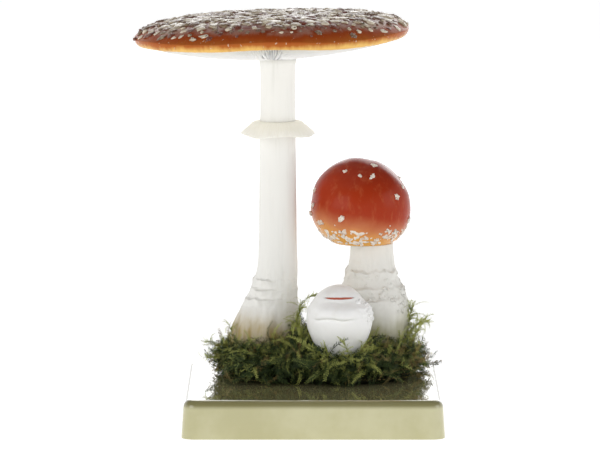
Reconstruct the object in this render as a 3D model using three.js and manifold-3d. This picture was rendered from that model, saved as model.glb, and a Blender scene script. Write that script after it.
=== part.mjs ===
// Toadstool display model: three fly agarics of three ages on a moulded tray, bedded in pads of moss.
// Millimetres, +Z up, the front faces -Y. The origin is the centre of the footprint, on the table.

import * as THREE from "three";
import { mergeVertices } from "three/addons/utils/BufferGeometryUtils.js";
import Module from "manifold-3d";

const wasm = await Module();
wasm.setup();

// Clearances
const SEAT_GAP = 0.3; // between pieces that seat on, in or around each other

// Tray: an open-bottomed moulding with drafted walls and a rounded top edge
const TRAY_WIDTH = 172;
const TRAY_DEPTH = 172;
const TRAY_HEIGHT = 25;
const TRAY_WALL = 2.5;
const TRAY_CORNER = 9;
const TRAY_EDGE = 5;
const TRAY_DRAFT = 1.6;

// Fixings: a threaded rod up each stem, with a washer and a nut under the tray
const ROD_DIAMETER = 5;
const ROD_TAIL = 3;
const NUT_WIDTH = 8;
const NUT_HEIGHT = 4;
const WASHER_DIAMETER = 15;
const WASHER_THICKNESS = 1.2;

// Old toadstool: stem
const OLD_X = -23.5;
const OLD_Y = 30;
const OLD_STEM_RADIUS = 11.4;
const OLD_STEM_TAPER = 2.4;
const OLD_STEM_HEIGHT = 212.7;
const OLD_STEM_FLARE = 1.3;
const OLD_FLARE_LENGTH = 6;
const OLD_BULB_RADIUS = 22.9;
const OLD_BULB_LEVEL = 26;
const OLD_BULB_SPREAD = 27.5;
const OLD_BULB_LEAN = 7.7;
const OLD_LEAN_LENGTH = 52;
const OLD_FOOT_RADIUS = 17;
const OLD_GIRDLES = [52, 58.5, 65];
const OLD_FLUTES = 8;
const OLD_FLUTE_DEPTH = 0.9;
const OLD_SPIGOT_RADIUS = 7.5;

// Old toadstool: ring, a skirt that hangs from a collar on the stem
const RING_BELOW_TOP = 41.7;
const RING_COLLAR_HEIGHT = 3;
const RING_SHELF_WIDTH = 4.6;
const RING_SKIRT_WIDTH = 8;
const RING_DROP = 8.8;
const RING_THICKNESS = 1.4;
const RING_WAVE = 0.7;

// Old toadstool: cap shell, with a gill plate bonded into its rim
const CAP_RADIUS = 91.5;
const CAP_HEIGHT = 13.5;
const CAP_FULLNESS = 6.5;
const CAP_WALL = 3;
const CAP_RIM_DROP = 5.2;
const CAP_RIM_LIP = 3.5;
const CAP_RIM_LAND = 2;
const CAP_LEDGE = 2;
const CAP_OFFSET = -4;
const CAP_SIDE_TILT = 1.9;
const CAP_FRONT_TILT = -1.2;
const CAP_RIM_WAVE = 0.9;
const CAP_FLAKES = 48;
const CAP_FLAKE_SIZE = 5;
const CAP_FLAKE_HEIGHT = 1.1;
const GILL_DROP = 15.5;
const GILL_PAIRS = 44;
const GILL_THICKNESS = 0.9;
const GILL_PLATE = 2;
const GILL_OUTER_DEPTH = 1.4;
const GILL_HUB_RADIUS = 14;
const GILL_HUB_ROOF = 2.6;

// Young toadstool: stem
const YOUNG_X = 39.8;
const YOUNG_Y = 44;
const YOUNG_STEM_RADIUS = 14.2;
const YOUNG_STEM_HEIGHT = 86.5;
const YOUNG_BULB_RADIUS = 25.8;
const YOUNG_BULB_LEVEL = 40;
const YOUNG_BULB_SPREAD = 22;
const YOUNG_FOOT_RADIUS = 19;
const YOUNG_GIRDLES = [50, 58, 69];
const YOUNG_SPIGOT_RADIUS = 9;
const YOUNG_SPIGOT_HEIGHT = 6;

// Young toadstool: ball cap, whose mouth is closed by the veil
const BALL_RADIUS = 33.6;
const BALL_CROWN = 33;
const BALL_SKIRT = 23;
const BALL_MOUTH_RADIUS = 19.5;
const BALL_WALL = 3;
const BALL_OFFSET = -4.6;
const BALL_BULGE = 3;
const BALL_SHOULDER_LEAN = 46;
const BALL_SHOULDER_REACH = 29.5;
const BALL_SHOULDER_EASE = 0.6;
const VEIL_THICKNESS = 3;
const WART_HEIGHT = 1.3;
// Each wart: degrees round from the right, degrees above the widest level, half width
const WARTS = [
  [232, 52, 2.2], [262, 48, 2.4], [284, 48, 2.7], [318, 20, 3.4], [338, 30, 2.2], [246, -6, 2.9],
  [214, -14, 2.5], [196, 6, 2.4], [192, 22, 2.0], [186, -6, 2.2], [228, -32, 2.4], [250, -38, 2.6],
  [263, -45, 3.5], [276, -36, 2.2], [290, -40, 2.6], [304, -34, 2.8], [322, -28, 2.2], [348, -14, 2.4],
  [300, 66, 2.6], [20, 40, 3.0], [55, 12, 3.2], [92, 44, 2.8], [118, -12, 3.0], [148, 24, 3.2],
];

// Button: a closed egg of white veil, torn open over a young red cap
const BUTTON_CLEARANCE = 4;
const BUTTON_BEARING = 244.8;
const BUTTON_RADIUS = 22.1;
const BUTTON_LEVEL = 42;
const BUTTON_CROWN = 23;
const BUTTON_STALK_RADIUS = 10.5;
const BUTTON_STALK_HEIGHT = 16;
const BUTTON_VEIL = 4;
const BUTTON_PARTING_RISE = 15.5;
const BUTTON_SLIT_HEIGHT = 2.4;
const BUTTON_SLIT_WIDTH = 21;
const BUTTON_FOLD = 1.2;

// Moss: one cushion, cut into three pads round the stems
const MOSS_WIDTH = 148;
const MOSS_DEPTH = 106;
const MOSS_CENTRE_X = 2.5;
const MOSS_CENTRE_Y = 25;
const MOSS_EDGE = 13;
const MOSS_CROWN = 24;
const MOSS_LUMP = 1.6;

// Facets
const STEM_SIDES = 24;
const CAP_SIDES = 40;
const BALL_SIDES = 28;
const ROD_SIDES = 12;

const COLOURS = {
  tray: 0xb9b685,
  steel: 0xa9acb0,
  stem: 0xe9e7df,
  ring: 0xe8e2cc,
  gills: 0xf3f1e8,
  oldCap: 0xa8501f,
  ballCap: 0xa63a1e,
  wart: 0xe3ddcf,
  veil: 0xeeeeec,
  moss: 0x4a5428,
};

const MERGE_DISTANCE = 1e-4;
const GOLDEN_ANGLE = Math.PI * (3 - Math.sqrt(5));
const rodHole = ROD_DIAMETER / 2 + SEAT_GAP;

// Evenly spaced numbers from one value to another, both included.
function spread(from, to, count) {
  return Array.from({ length: count }, (_, i) => from + ((to - from) * i) / (count - 1));
}

// 0 before the first edge, 1 after the second, smooth between.
function ease(value, start, end) {
  return THREE.MathUtils.smoothstep(value, start, end);
}

// The same uneven value from 0 to 1 each time, for one numbered piece and one of its traits.
function uneven(piece, trait) {
  const wave = Math.sin(piece * 12.9898 + trait * 78.233) * 43758.5453;
  return wave - Math.floor(wave);
}

function solidOf(geometry) {
  const bare = new THREE.BufferGeometry().setAttribute("position", geometry.getAttribute("position"));
  if (geometry.index) bare.setIndex(geometry.index);
  const merged = mergeVertices(bare, MERGE_DISTANCE);
  return new wasm.Manifold(
    new wasm.Mesh({
      numProp: 3,
      vertProperties: merged.attributes.position.array,
      triVerts: new Uint32Array(merged.index.array),
    }),
  );
}

function geometryOf(solid) {
  const mesh = solid.getMesh();
  return new THREE.BufferGeometry()
    .setAttribute("position", new THREE.BufferAttribute(mesh.vertProperties, 3))
    .setIndex(new THREE.BufferAttribute(mesh.triVerts, 1));
}

// Moves every vertex of a geometry by a function that changes a vector in place.
function press(geometry, move) {
  const positions = geometry.getAttribute("position");
  const vertex = new THREE.Vector3();
  for (let i = 0; i < positions.count; i++) {
    move(vertex.fromBufferAttribute(positions, i));
    positions.setXYZ(i, vertex.x, vertex.y, vertex.z);
  }
  return geometry;
}

// A profile of [radius, height] pairs turned round the Z axis.
function turn(profile, sides) {
  const points = profile.map(([radius, height]) => new THREE.Vector2(radius, height));
  return new THREE.LatheGeometry(points, sides).rotateX(Math.PI / 2);
}

// A closed form on the Z axis, whose outline at each level is radiusAt(level, angle).
function form(levels, sides, radiusAt) {
  const profile = [[0, levels[0]], ...levels.map((level) => [1, level]), [0, levels.at(-1)]];
  return press(turn(profile, sides), (vertex) => {
    if (Math.hypot(vertex.x, vertex.y) < 0.5) return;
    const radius = radiusAt(vertex.z, Math.atan2(vertex.y, vertex.x));
    vertex.x *= radius;
    vertex.y *= radius;
  });
}

// A round bar on the Z axis between two levels.
function bar(radius, low, high, sides = ROD_SIDES) {
  return turn([[0, low], [radius, low], [radius, high], [0, high]], sides);
}

// A plan outline raised between two levels.
function slab(shape, low, high, curveSegments = ROD_SIDES / 2) {
  const options = { depth: high - low, bevelEnabled: false, curveSegments };
  return new THREE.ExtrudeGeometry(shape, options).translate(0, 0, low);
}

function polygon(points) {
  return new THREE.Shape(points.map(([x, y]) => new THREE.Vector2(x, y)));
}

function piece(name, geometry, color, roughness, metalness = 0) {
  geometry.computeVertexNormals();
  const mesh = new THREE.Mesh(geometry, new THREE.MeshStandardMaterial({ color, roughness, metalness }));
  mesh.name = name;
  return mesh;
}

// Tray

// The tray's plan outline, drawn in by an inset, as points at one level.
function trayRing(inset, level) {
  const x = TRAY_WIDTH / 2 - inset;
  const y = TRAY_DEPTH / 2 - inset;
  const corner = Math.max(TRAY_CORNER - inset, 1);
  const outline = new THREE.Path();
  outline.absarc(x - corner, y - corner, corner, 0, Math.PI / 2);
  outline.absarc(corner - x, y - corner, corner, Math.PI / 2, Math.PI);
  outline.absarc(corner - x, corner - y, corner, Math.PI, 1.5 * Math.PI);
  outline.absarc(x - corner, corner - y, corner, 1.5 * Math.PI, 2 * Math.PI);
  return outline.getPoints(4).map((point) => new THREE.Vector3(point.x, point.y, level));
}

// Joins rings of equal point counts into one closed skin, with the first and last ring filled in.
function loft(rings) {
  const count = rings[0].length;
  const positions = rings.flat().flatMap((point) => point.toArray());
  const triangles = [];
  const link = (a, b, c) => triangles.push(a, b, c);
  rings.slice(1).forEach((_, row) => {
    for (let i = 0; i < count; i++) {
      const next = (i + 1) % count;
      const [low, high] = [row * count, (row + 1) * count];
      link(low + i, low + next, high + next);
      link(low + i, high + next, high + i);
    }
  });
  const last = (rings.length - 1) * count;
  for (let i = 1; i < count - 1; i++) {
    link(0, i + 1, i);
    link(last, last + i, last + i + 1);
  }
  return new THREE.BufferGeometry()
    .setAttribute("position", new THREE.Float32BufferAttribute(positions, 3))
    .setIndex(triangles);
}

// One skin of the tray, from its rim up its drafted wall and over its rounded edge.
function traySkin(offset, top, edge) {
  const shoulder = top - edge;
  const inset = (level) => offset + (TRAY_DRAFT * level) / TRAY_HEIGHT;
  const arc = spread(0, Math.PI / 2, 4).map((angle) =>
    trayRing(inset(shoulder) + edge * (1 - Math.cos(angle)), shoulder + edge * Math.sin(angle)),
  );
  return [trayRing(inset(0), 0), ...arc];
}

function makeTray(rodPlaces) {
  const outer = traySkin(0, TRAY_HEIGHT, TRAY_EDGE);
  const inner = traySkin(TRAY_WALL, TRAY_HEIGHT - TRAY_WALL, Math.max(TRAY_EDGE - TRAY_WALL, 1));
  const shell = solidOf(loft([...inner.reverse(), ...outer]));
  const hole = ([x, y]) => solidOf(bar(rodHole, 0, TRAY_HEIGHT + TRAY_WALL).translate(x, y, 0));
  const bored = rodPlaces.reduce((solid, place) => solid.subtract(hole(place)), shell);
  return piece("base_tray", geometryOf(bored), COLOURS.tray, 0.2);
}

// Fixings

const washerTop = -TRAY_WALL - SEAT_GAP;
const nutTop = washerTop - WASHER_THICKNESS - SEAT_GAP;
const rodBottom = nutTop - NUT_HEIGHT - ROD_TAIL;

function washer(name, top) {
  const outline = new THREE.Shape().absarc(0, 0, WASHER_DIAMETER / 2, 0, 2 * Math.PI);
  outline.holes.push(new THREE.Path().absarc(0, 0, rodHole, 0, 2 * Math.PI, true));
  return piece(name, slab(outline, top - WASHER_THICKNESS, top), COLOURS.steel, 0.35, 1);
}

function nut(name, top) {
  const corner = NUT_WIDTH / Math.sqrt(3);
  const corners = spread(0, 2 * Math.PI, 7).slice(0, 6);
  const outline = polygon(corners.map((angle) => [corner * Math.cos(angle), corner * Math.sin(angle)]));
  outline.holes.push(new THREE.Path().absarc(0, 0, rodHole, 0, 2 * Math.PI, true));
  return piece(name, slab(outline, top - NUT_HEIGHT, top), COLOURS.steel, 0.35, 1);
}

function rod(name, top) {
  return piece(name, bar(ROD_DIAMETER / 2, rodBottom, top), COLOURS.steel, 0.35, 1);
}

// The rod, washer and nut that hold one fungus to the tray.
function fixings(prefix, rodTop) {
  return [
    rod(`${prefix}_rod`, rodTop),
    washer(`${prefix}_washer`, washerTop),
    nut(`${prefix}_nut`, nutTop),
  ];
}

// Stems

const GIRDLE_DEPTH = 1.5;
const GIRDLE_FADE = 5;
const GIRDLE_EDGE = 0.7;

// How far the torn girdles of the bulb stand out: each is a ledge that fades away below.
function girdleAt(girdles, level, angle) {
  return girdles.reduce((sum, girdle, i) => {
    const rise = (level - girdle + GIRDLE_FADE) / (GIRDLE_FADE - GIRDLE_EDGE);
    const torn = Math.max(0.15, 0.45 + 0.55 * Math.sin((2 + (i % 3)) * angle + 2.1 * i - 0.4));
    return sum + (level < girdle && rise > 0 ? GIRDLE_DEPTH * torn * Math.min(rise, 1) : 0);
  }, 0);
}

// A stem's radius: a bulb that swells above the foot and dies away into the shaft.
function stemRadius(stem, level, angle) {
  const above = (level - stem.bulbLevel) / stem.spread;
  const below = THREE.MathUtils.clamp((stem.bulbLevel - level) / stem.bulbLevel, 0, 1);
  const slim = stem.radius + stem.taper * (1 - level / stem.height);
  const shaft = slim + (stem.bulbRadius - slim) * Math.exp(-above * above);
  const foot = stem.footRadius + (stem.bulbRadius - stem.footRadius) * Math.sqrt(1 - below * below);
  const flare = stem.flare * Math.exp((level - stem.height) / OLD_FLARE_LENGTH);
  const fluted = ease(level, 0, stem.bulbLevel) * (1 - ease(level, stem.bulbLevel, stem.girdles[0]));
  const flutes = stem.flutes * Math.cos(OLD_FLUTES * angle) * fluted;
  return (level < stem.bulbLevel ? foot : shaft) + flare + flutes + girdleAt(stem.girdles, level, angle);
}

function stemLevels(stem) {
  const foot = spread(SEAT_GAP, stem.bulbLevel, 5);
  const ledges = stem.girdles.flatMap((girdle) => [girdle - GIRDLE_FADE, girdle - GIRDLE_EDGE, girdle]);
  const shaft = spread(stem.girdles.at(-1), stem.height, stem.shaftSteps).slice(1);
  const bulb = [(stem.bulbLevel + ledges[0]) / 2];
  return [...foot, ...bulb, ...ledges, ...shaft].sort((a, b) => a - b);
}

// The stem's outer form, grown by a gap where another piece is cut to clear it.
function stemForm(stem, grow = 0) {
  const body = form(stemLevels(stem), STEM_SIDES, (level, angle) => stemRadius(stem, level, angle) + grow);
  return press(body, (vertex) => {
    vertex.x -= stem.lean * (1 - ease(vertex.z, stem.bulbLevel, stem.leanTop));
  });
}

function makeStem(name, stem) {
  const spigot = bar(stem.spigotRadius, stem.height - 1, stem.height + stem.spigotHeight, STEM_SIDES);
  const bore = bar(rodHole, -1, stem.boreTop);
  const solid = solidOf(stemForm(stem)).add(solidOf(spigot)).subtract(solidOf(bore));
  return piece(name, geometryOf(solid), COLOURS.stem, 0.55);
}

// Old toadstool: levels of its cap and gills, counted from the cap's widest
const capLevel = OLD_STEM_HEIGHT + SEAT_GAP + GILL_DROP;
const capMouth = CAP_RADIUS - CAP_RIM_LIP - CAP_RIM_LAND;
const plateTop = -CAP_LEDGE / 2 - SEAT_GAP;
const plateBottom = plateTop - GILL_PLATE;
const socketTop = plateTop - GILL_HUB_ROOF;
const oldSpigotHeight = GILL_DROP + socketTop;

const oldStem = {
  radius: OLD_STEM_RADIUS,
  taper: OLD_STEM_TAPER,
  height: OLD_STEM_HEIGHT,
  flare: OLD_STEM_FLARE,
  bulbRadius: OLD_BULB_RADIUS,
  bulbLevel: OLD_BULB_LEVEL,
  spread: OLD_BULB_SPREAD,
  footRadius: OLD_FOOT_RADIUS,
  girdles: OLD_GIRDLES,
  flutes: OLD_FLUTE_DEPTH,
  lean: OLD_BULB_LEAN,
  leanTop: OLD_BULB_LEVEL + OLD_LEAN_LENGTH,
  spigotRadius: OLD_SPIGOT_RADIUS,
  spigotHeight: oldSpigotHeight,
  boreTop: OLD_STEM_HEIGHT + oldSpigotHeight + 1,
  shaftSteps: 8,
};

const youngRodTop = YOUNG_STEM_HEIGHT - YOUNG_STEM_RADIUS;
const youngStem = {
  radius: YOUNG_STEM_RADIUS,
  taper: 0,
  height: YOUNG_STEM_HEIGHT,
  flare: 0,
  bulbRadius: YOUNG_BULB_RADIUS,
  bulbLevel: YOUNG_BULB_LEVEL,
  spread: YOUNG_BULB_SPREAD,
  footRadius: YOUNG_FOOT_RADIUS,
  girdles: YOUNG_GIRDLES,
  flutes: 0,
  lean: 0,
  leanTop: YOUNG_STEM_HEIGHT,
  spigotRadius: YOUNG_SPIGOT_RADIUS,
  spigotHeight: YOUNG_SPIGOT_HEIGHT,
  boreTop: youngRodTop + SEAT_GAP,
  shaftSteps: 4,
};

// Old toadstool: ring

function makeRing() {
  const level = OLD_STEM_HEIGHT - RING_BELOW_TOP;
  const hole = stemRadius(oldStem, level, 0) + SEAT_GAP;
  const shelf = hole + RING_SHELF_WIDTH;
  const hem = shelf + RING_SKIRT_WIDTH;
  const slope = Math.atan2(RING_SKIRT_WIDTH, RING_DROP);
  const [back, down] = [RING_THICKNESS * Math.cos(slope), RING_THICKNESS * Math.sin(slope)];
  const profile = [
    [hole, level - RING_COLLAR_HEIGHT],
    [hole + RING_THICKNESS, level - RING_COLLAR_HEIGHT],
    [shelf - back, level - RING_THICKNESS - down],
    [hem - back, level - RING_DROP - down / 2],
    [hem, level - RING_DROP],
    [shelf, level - RING_THICKNESS / 2],
    [hole, level],
    [hole, level - RING_COLLAR_HEIGHT],
  ];
  const skirt = press(turn(profile, STEM_SIDES), (vertex) => {
    const out = ease(Math.hypot(vertex.x, vertex.y), shelf, hem);
    vertex.z += RING_WAVE * out * Math.sin(4 * Math.atan2(vertex.y, vertex.x) + 1);
  });
  return piece("old_ring", skirt, COLOURS.ring, 0.5);
}

// Old toadstool: cap and gills, in a frame whose zero level is the cap's widest

function domeHeight(radius) {
  return CAP_HEIGHT * (1 - Math.pow(Math.min(radius / CAP_RADIUS, 1), CAP_FULLNESS));
}

// Sets the cap a little askew on its stem and lets its rim wander, leaving the hub square.
function warpCap(vertex) {
  const radius = Math.hypot(vertex.x, vertex.y);
  const angle = Math.atan2(vertex.y, vertex.x);
  const away = ease(radius, GILL_HUB_RADIUS, 2 * GILL_HUB_RADIUS);
  const rim = Math.pow(radius / CAP_RADIUS, 3);
  const side = Math.tan(THREE.MathUtils.degToRad(CAP_SIDE_TILT));
  const front = Math.tan(THREE.MathUtils.degToRad(CAP_FRONT_TILT));
  vertex.z += away * (side * vertex.x + front * vertex.y);
  vertex.z += rim * CAP_RIM_WAVE * (Math.sin(3 * angle + 0.6) + 0.6 * Math.sin(7 * angle));
  vertex.x += away * CAP_OFFSET;
}

// One torn flake of the outer veil, lying on the dome.
function flake(index) {
  const reach = 0.9 * CAP_RADIUS * Math.sqrt((index + 0.5) / CAP_FLAKES);
  const size = CAP_FLAKE_SIZE * (0.65 + 0.6 * uneven(index, 1));
  const corners = spread(0, 2 * Math.PI, 6).slice(0, 5);
  const outline = polygon(
    corners.map((angle, i) => {
      const radius = size * (0.7 + 0.45 * uneven(index, 2 + i));
      return [radius * Math.cos(angle), radius * Math.sin(angle)];
    }),
  );
  const drop = (domeHeight(reach + 1) - domeHeight(reach - 1)) / 2;
  return slab(outline, -CAP_WALL / 2, CAP_FLAKE_HEIGHT)
    .rotateZ(2 * Math.PI * uneven(index, 9))
    .rotateY(-Math.atan(drop))
    .translate(reach, 0, domeHeight(reach))
    .rotateZ(index * GOLDEN_ANGLE);
}

function makeOldCap() {
  const dome = spread(0, Math.PI / 2, 8).map((angle) => CAP_RADIUS * Math.sin(angle));
  const rim = spread(0, Math.PI / 2, 4).slice(1);
  const ceiling = spread(capMouth - CAP_LEDGE, 0, 5);
  const profile = [
    ...dome.map((radius) => [radius, domeHeight(radius)]),
    ...rim.map((angle) => [
      CAP_RADIUS - CAP_RIM_LIP * (1 - Math.cos(angle)),
      -CAP_RIM_DROP * Math.sin(angle),
    ]),
    [capMouth, -CAP_RIM_DROP],
    [capMouth, -CAP_LEDGE / 2],
    [capMouth - CAP_LEDGE, -CAP_LEDGE / 2],
    ...ceiling.map((radius) => [radius, domeHeight(radius) - CAP_WALL]),
  ];
  const shell = solidOf(turn(profile.reverse(), CAP_SIDES));
  const flakes = Array.from({ length: CAP_FLAKES }, (_, i) => solidOf(flake(i)));
  const joined = flakes.reduce((solid, scale) => solid.add(scale), shell);
  return piece("old_cap", press(geometryOf(joined), warpCap), COLOURS.oldCap, 0.25);
}

// The gills' lower edge, from the rim in to the hub.
function gillEdge(radius) {
  const inward = (capMouth - radius) / (capMouth - GILL_HUB_RADIUS);
  const outer = GILL_OUTER_DEPTH - plateBottom;
  return -outer - (GILL_DROP - outer) * Math.sin((inward * Math.PI) / 2);
}

function gill(start, angle) {
  const end = capMouth - 2 * SEAT_GAP - GILL_THICKNESS;
  const root = plateBottom + GILL_PLATE / 4;
  const edge = spread(start, end, 4).map((radius) => [radius, gillEdge(radius)]);
  const outline = polygon([...edge, [end, root], [start - GILL_THICKNESS, root]]);
  return slab(outline, -GILL_THICKNESS / 2, GILL_THICKNESS / 2).rotateX(Math.PI / 2).rotateZ(angle);
}

function makeGills() {
  const edge = capMouth - SEAT_GAP;
  const socket = OLD_SPIGOT_RADIUS + SEAT_GAP;
  const profile = [
    [rodHole, plateTop],
    [edge, plateTop],
    [edge, plateBottom],
    [GILL_HUB_RADIUS, plateBottom],
    [GILL_HUB_RADIUS, -GILL_DROP],
    [socket, -GILL_DROP],
    [socket, socketTop],
    [rodHole, socketTop],
    [rodHole, plateTop],
  ];
  const plate = solidOf(turn(profile.reverse(), CAP_SIDES));
  const step = Math.PI / GILL_PAIRS;
  const [longStart, shortStart] = [GILL_HUB_RADIUS + 3 * GILL_THICKNESS, (capMouth + GILL_HUB_RADIUS) / 2];
  const blades = Array.from({ length: 2 * GILL_PAIRS }, (_, i) =>
    solidOf(gill(i % 2 ? shortStart : longStart, i * step)),
  );
  const joined = blades.reduce((solid, blade) => solid.add(blade), plate);
  return piece("old_gills", press(geometryOf(joined), warpCap), COLOURS.gills, 0.6);
}

function makeOldToadstool() {
  const head = new THREE.Group();
  head.position.z = capLevel;
  const headWasher = plateTop + SEAT_GAP + WASHER_THICKNESS;
  const headNut = headWasher + SEAT_GAP + NUT_HEIGHT;
  head.add(makeOldCap(), makeGills(), washer("old_head_washer", headWasher), nut("old_head_nut", headNut));
  const fungus = new THREE.Group();
  fungus.position.set(OLD_X, OLD_Y, TRAY_HEIGHT);
  const rodTop = capLevel + headNut + ROD_TAIL / 2;
  fungus.add(makeStem("old_stem", oldStem), makeRing(), head, ...fixings("old", rodTop));
  return fungus;
}

// Young toadstool: cap, veil and warts, in a frame whose zero level is the cap's widest

const ballLevel = YOUNG_STEM_HEIGHT + SEAT_GAP + BALL_SKIRT;
const skirtHeight = BALL_SKIRT / Math.sqrt(1 - (BALL_MOUTH_RADIUS / BALL_RADIUS) ** 2);

// A point on the ball cap's skin, or a set distance inside or outside it.
function ballProfile(tilt, grow = 0) {
  const height = tilt > 0 ? BALL_CROWN : skirtHeight;
  return [(BALL_RADIUS + grow) * Math.cos(tilt), (height + grow) * Math.sin(tilt)];
}

const mouthTilt = -Math.asin(BALL_SKIRT / skirtHeight);

const shoulderLean = THREE.MathUtils.degToRad(BALL_SHOULDER_LEAN);
const shoulder = new THREE.Vector3(Math.sin(shoulderLean), 0, Math.cos(shoulderLean));

// The cap swells towards the old toadstool at its widest, and its far shoulder is flatter.
function warpBall(vertex) {
  vertex.x -= BALL_BULGE * Math.cos((vertex.z / BALL_CROWN) * (Math.PI / 2));
  const over = Math.max(vertex.dot(shoulder) - BALL_SHOULDER_REACH, 0);
  return vertex.addScaledVector(shoulder, -BALL_SHOULDER_EASE * over);
}

function ballSkin(steps, grow) {
  return spread(mouthTilt, Math.PI / 2, steps).map((tilt) => ballProfile(tilt, grow));
}

function makeBallCap() {
  const mouth = BALL_MOUTH_RADIUS - BALL_WALL;
  const inner = ballSkin(6, -BALL_WALL).filter(([, height]) => height > VEIL_THICKNESS - BALL_SKIRT);
  const seat = [[mouth, VEIL_THICKNESS - BALL_SKIRT], [mouth, -BALL_SKIRT]];
  const profile = [...inner.reverse(), ...seat, ...ballSkin(11, 0)];
  return piece("young_cap", press(turn(profile, BALL_SIDES), warpBall), COLOURS.ballCap, 0.2);
}

// The membrane that still closes the mouth, bored off centre for the stem's spigot.
function makeVeil() {
  const rim = BALL_MOUTH_RADIUS - BALL_WALL - SEAT_GAP;
  const top = VEIL_THICKNESS - SEAT_GAP - BALL_SKIRT;
  const disc = press(turn([[0, -BALL_SKIRT], [rim, -BALL_SKIRT], [rim, top], [0, top]], BALL_SIDES), warpBall);
  const spigotTop = YOUNG_SPIGOT_HEIGHT - BALL_SKIRT;
  const hole = bar(YOUNG_SPIGOT_RADIUS + SEAT_GAP, -2 * BALL_SKIRT, spigotTop, STEM_SIDES);
  const bored = solidOf(disc).subtract(solidOf(hole.translate(-BALL_OFFSET, 0, 0)));
  return piece("young_veil", geometryOf(bored), COLOURS.veil, 0.6);
}

// A lump of the torn outer veil, hollowed to sit on the cap.
function makeWart([around, above, size], index, skin) {
  const [angle, tilt] = [THREE.MathUtils.degToRad(around), THREE.MathUtils.degToRad(above)];
  const [radius, height] = ballProfile(tilt);
  const lump = press(turn([[0, -1], [1, 0], [0.75, 0.7], [0, 1]], 7), (vertex) => {
    const torn = 1 + 0.22 * Math.sin(3 * Math.atan2(vertex.y, vertex.x) + 2 * Math.PI * uneven(index, 1));
    vertex.multiply(new THREE.Vector3(size * torn, size * torn * 0.8, WART_HEIGHT + SEAT_GAP));
  });
  const seat = warpBall(new THREE.Vector3(radius * Math.cos(angle), radius * Math.sin(angle), height));
  lump
    .rotateZ(2 * Math.PI * uneven(index, 2))
    .rotateY(Math.PI / 2 - tilt)
    .rotateZ(angle)
    .translate(seat.x, seat.y, seat.z);
  const name = `young_wart_${String(index + 1).padStart(2, "0")}`;
  return piece(name, geometryOf(solidOf(lump).subtract(skin)), COLOURS.wart, 0.7);
}

function makeYoungToadstool() {
  const head = new THREE.Group();
  head.position.set(BALL_OFFSET, 0, ballLevel);
  const skinProfile = [[0, -BALL_SKIRT], ...ballSkin(11, SEAT_GAP)];
  const skin = solidOf(press(turn(skinProfile, BALL_SIDES), warpBall));
  head.add(makeBallCap(), makeVeil(), ...WARTS.map((wart, i) => makeWart(wart, i, skin)));
  const fungus = new THREE.Group();
  fungus.position.set(YOUNG_X, YOUNG_Y, TRAY_HEIGHT);
  fungus.add(makeStem("young_stem", youngStem), head, ...fixings("young", youngRodTop));
  return fungus;
}

// Button

const buttonReach = YOUNG_BULB_RADIUS + BUTTON_CLEARANCE + BUTTON_RADIUS;
const buttonBearing = THREE.MathUtils.degToRad(BUTTON_BEARING);
const buttonX = YOUNG_X + buttonReach * Math.cos(buttonBearing);
const buttonY = YOUNG_Y + buttonReach * Math.sin(buttonBearing);
const buttonRodTop = BUTTON_STALK_HEIGHT;
const buttonTop = BUTTON_LEVEL + BUTTON_CROWN;
const buttonParting = BUTTON_LEVEL + BUTTON_PARTING_RISE;

// The egg's radius: an ellipse above its widest level, drawn in to a stalk below.
function buttonRadius(level, angle) {
  const up = THREE.MathUtils.clamp((level - BUTTON_LEVEL) / BUTTON_CROWN, 0, 1);
  const drawn = ease(level, BUTTON_STALK_HEIGHT, BUTTON_LEVEL);
  const body = BUTTON_STALK_RADIUS + (BUTTON_RADIUS - BUTTON_STALK_RADIUS) * Math.sqrt(drawn);
  const front = ease(-Math.sin(angle), 0, 0.8);
  const fold = BUTTON_FOLD * front * ease(level, BUTTON_LEVEL, BUTTON_LEVEL + 1) * (1 - up);
  return (level < BUTTON_LEVEL ? body : BUTTON_RADIUS * Math.sqrt(1 - up * up)) + fold;
}

function buttonForm(grow = 0) {
  const stalk = spread(SEAT_GAP, BUTTON_STALK_HEIGHT, 3);
  const cup = spread(BUTTON_STALK_HEIGHT, BUTTON_LEVEL, 6).slice(1);
  const crown = spread(0, Math.PI / 2, 8).slice(1, -1).map((a) => BUTTON_CROWN * Math.sin(a));
  const dome = [1, ...crown, BUTTON_CROWN - SEAT_GAP / 4].map((rise) => BUTTON_LEVEL + rise);
  const levels = [...stalk, ...cup, ...dome];
  return form(levels, STEM_SIDES, (level, angle) => buttonRadius(level, angle) + grow);
}

// The red cap inside the veil, or the hollow that it fills.
function buttonCore(grow = 0) {
  const inside = grow - BUTTON_VEIL - SEAT_GAP;
  const [radius, crown] = [BUTTON_RADIUS + inside, BUTTON_CROWN + inside];
  const dome = spread(0, Math.PI / 2, 6).map((angle) => [radius * Math.cos(angle), crown * Math.sin(angle)]);
  return turn([[0, -grow], [radius, -grow], ...dome], STEM_SIDES).translate(0, 0, BUTTON_LEVEL);
}

// A lens-shaped tear across the front at the parting of cup and hood.
function buttonSlit() {
  const half = BUTTON_SLIT_WIDTH / 2;
  const lens = new THREE.Shape()
    .moveTo(-half, 0)
    .quadraticCurveTo(0, BUTTON_SLIT_HEIGHT, half, 0)
    .quadraticCurveTo(0, -BUTTON_SLIT_HEIGHT, -half, 0);
  return slab(lens, 0, 2 * BUTTON_RADIUS, 4).rotateX(Math.PI / 2).translate(0, 0, buttonParting);
}

// Everything between two levels, wider than the button.
function buttonBand(low, high) {
  return solidOf(bar(2 * BUTTON_RADIUS, low, high, STEM_SIDES));
}

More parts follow.
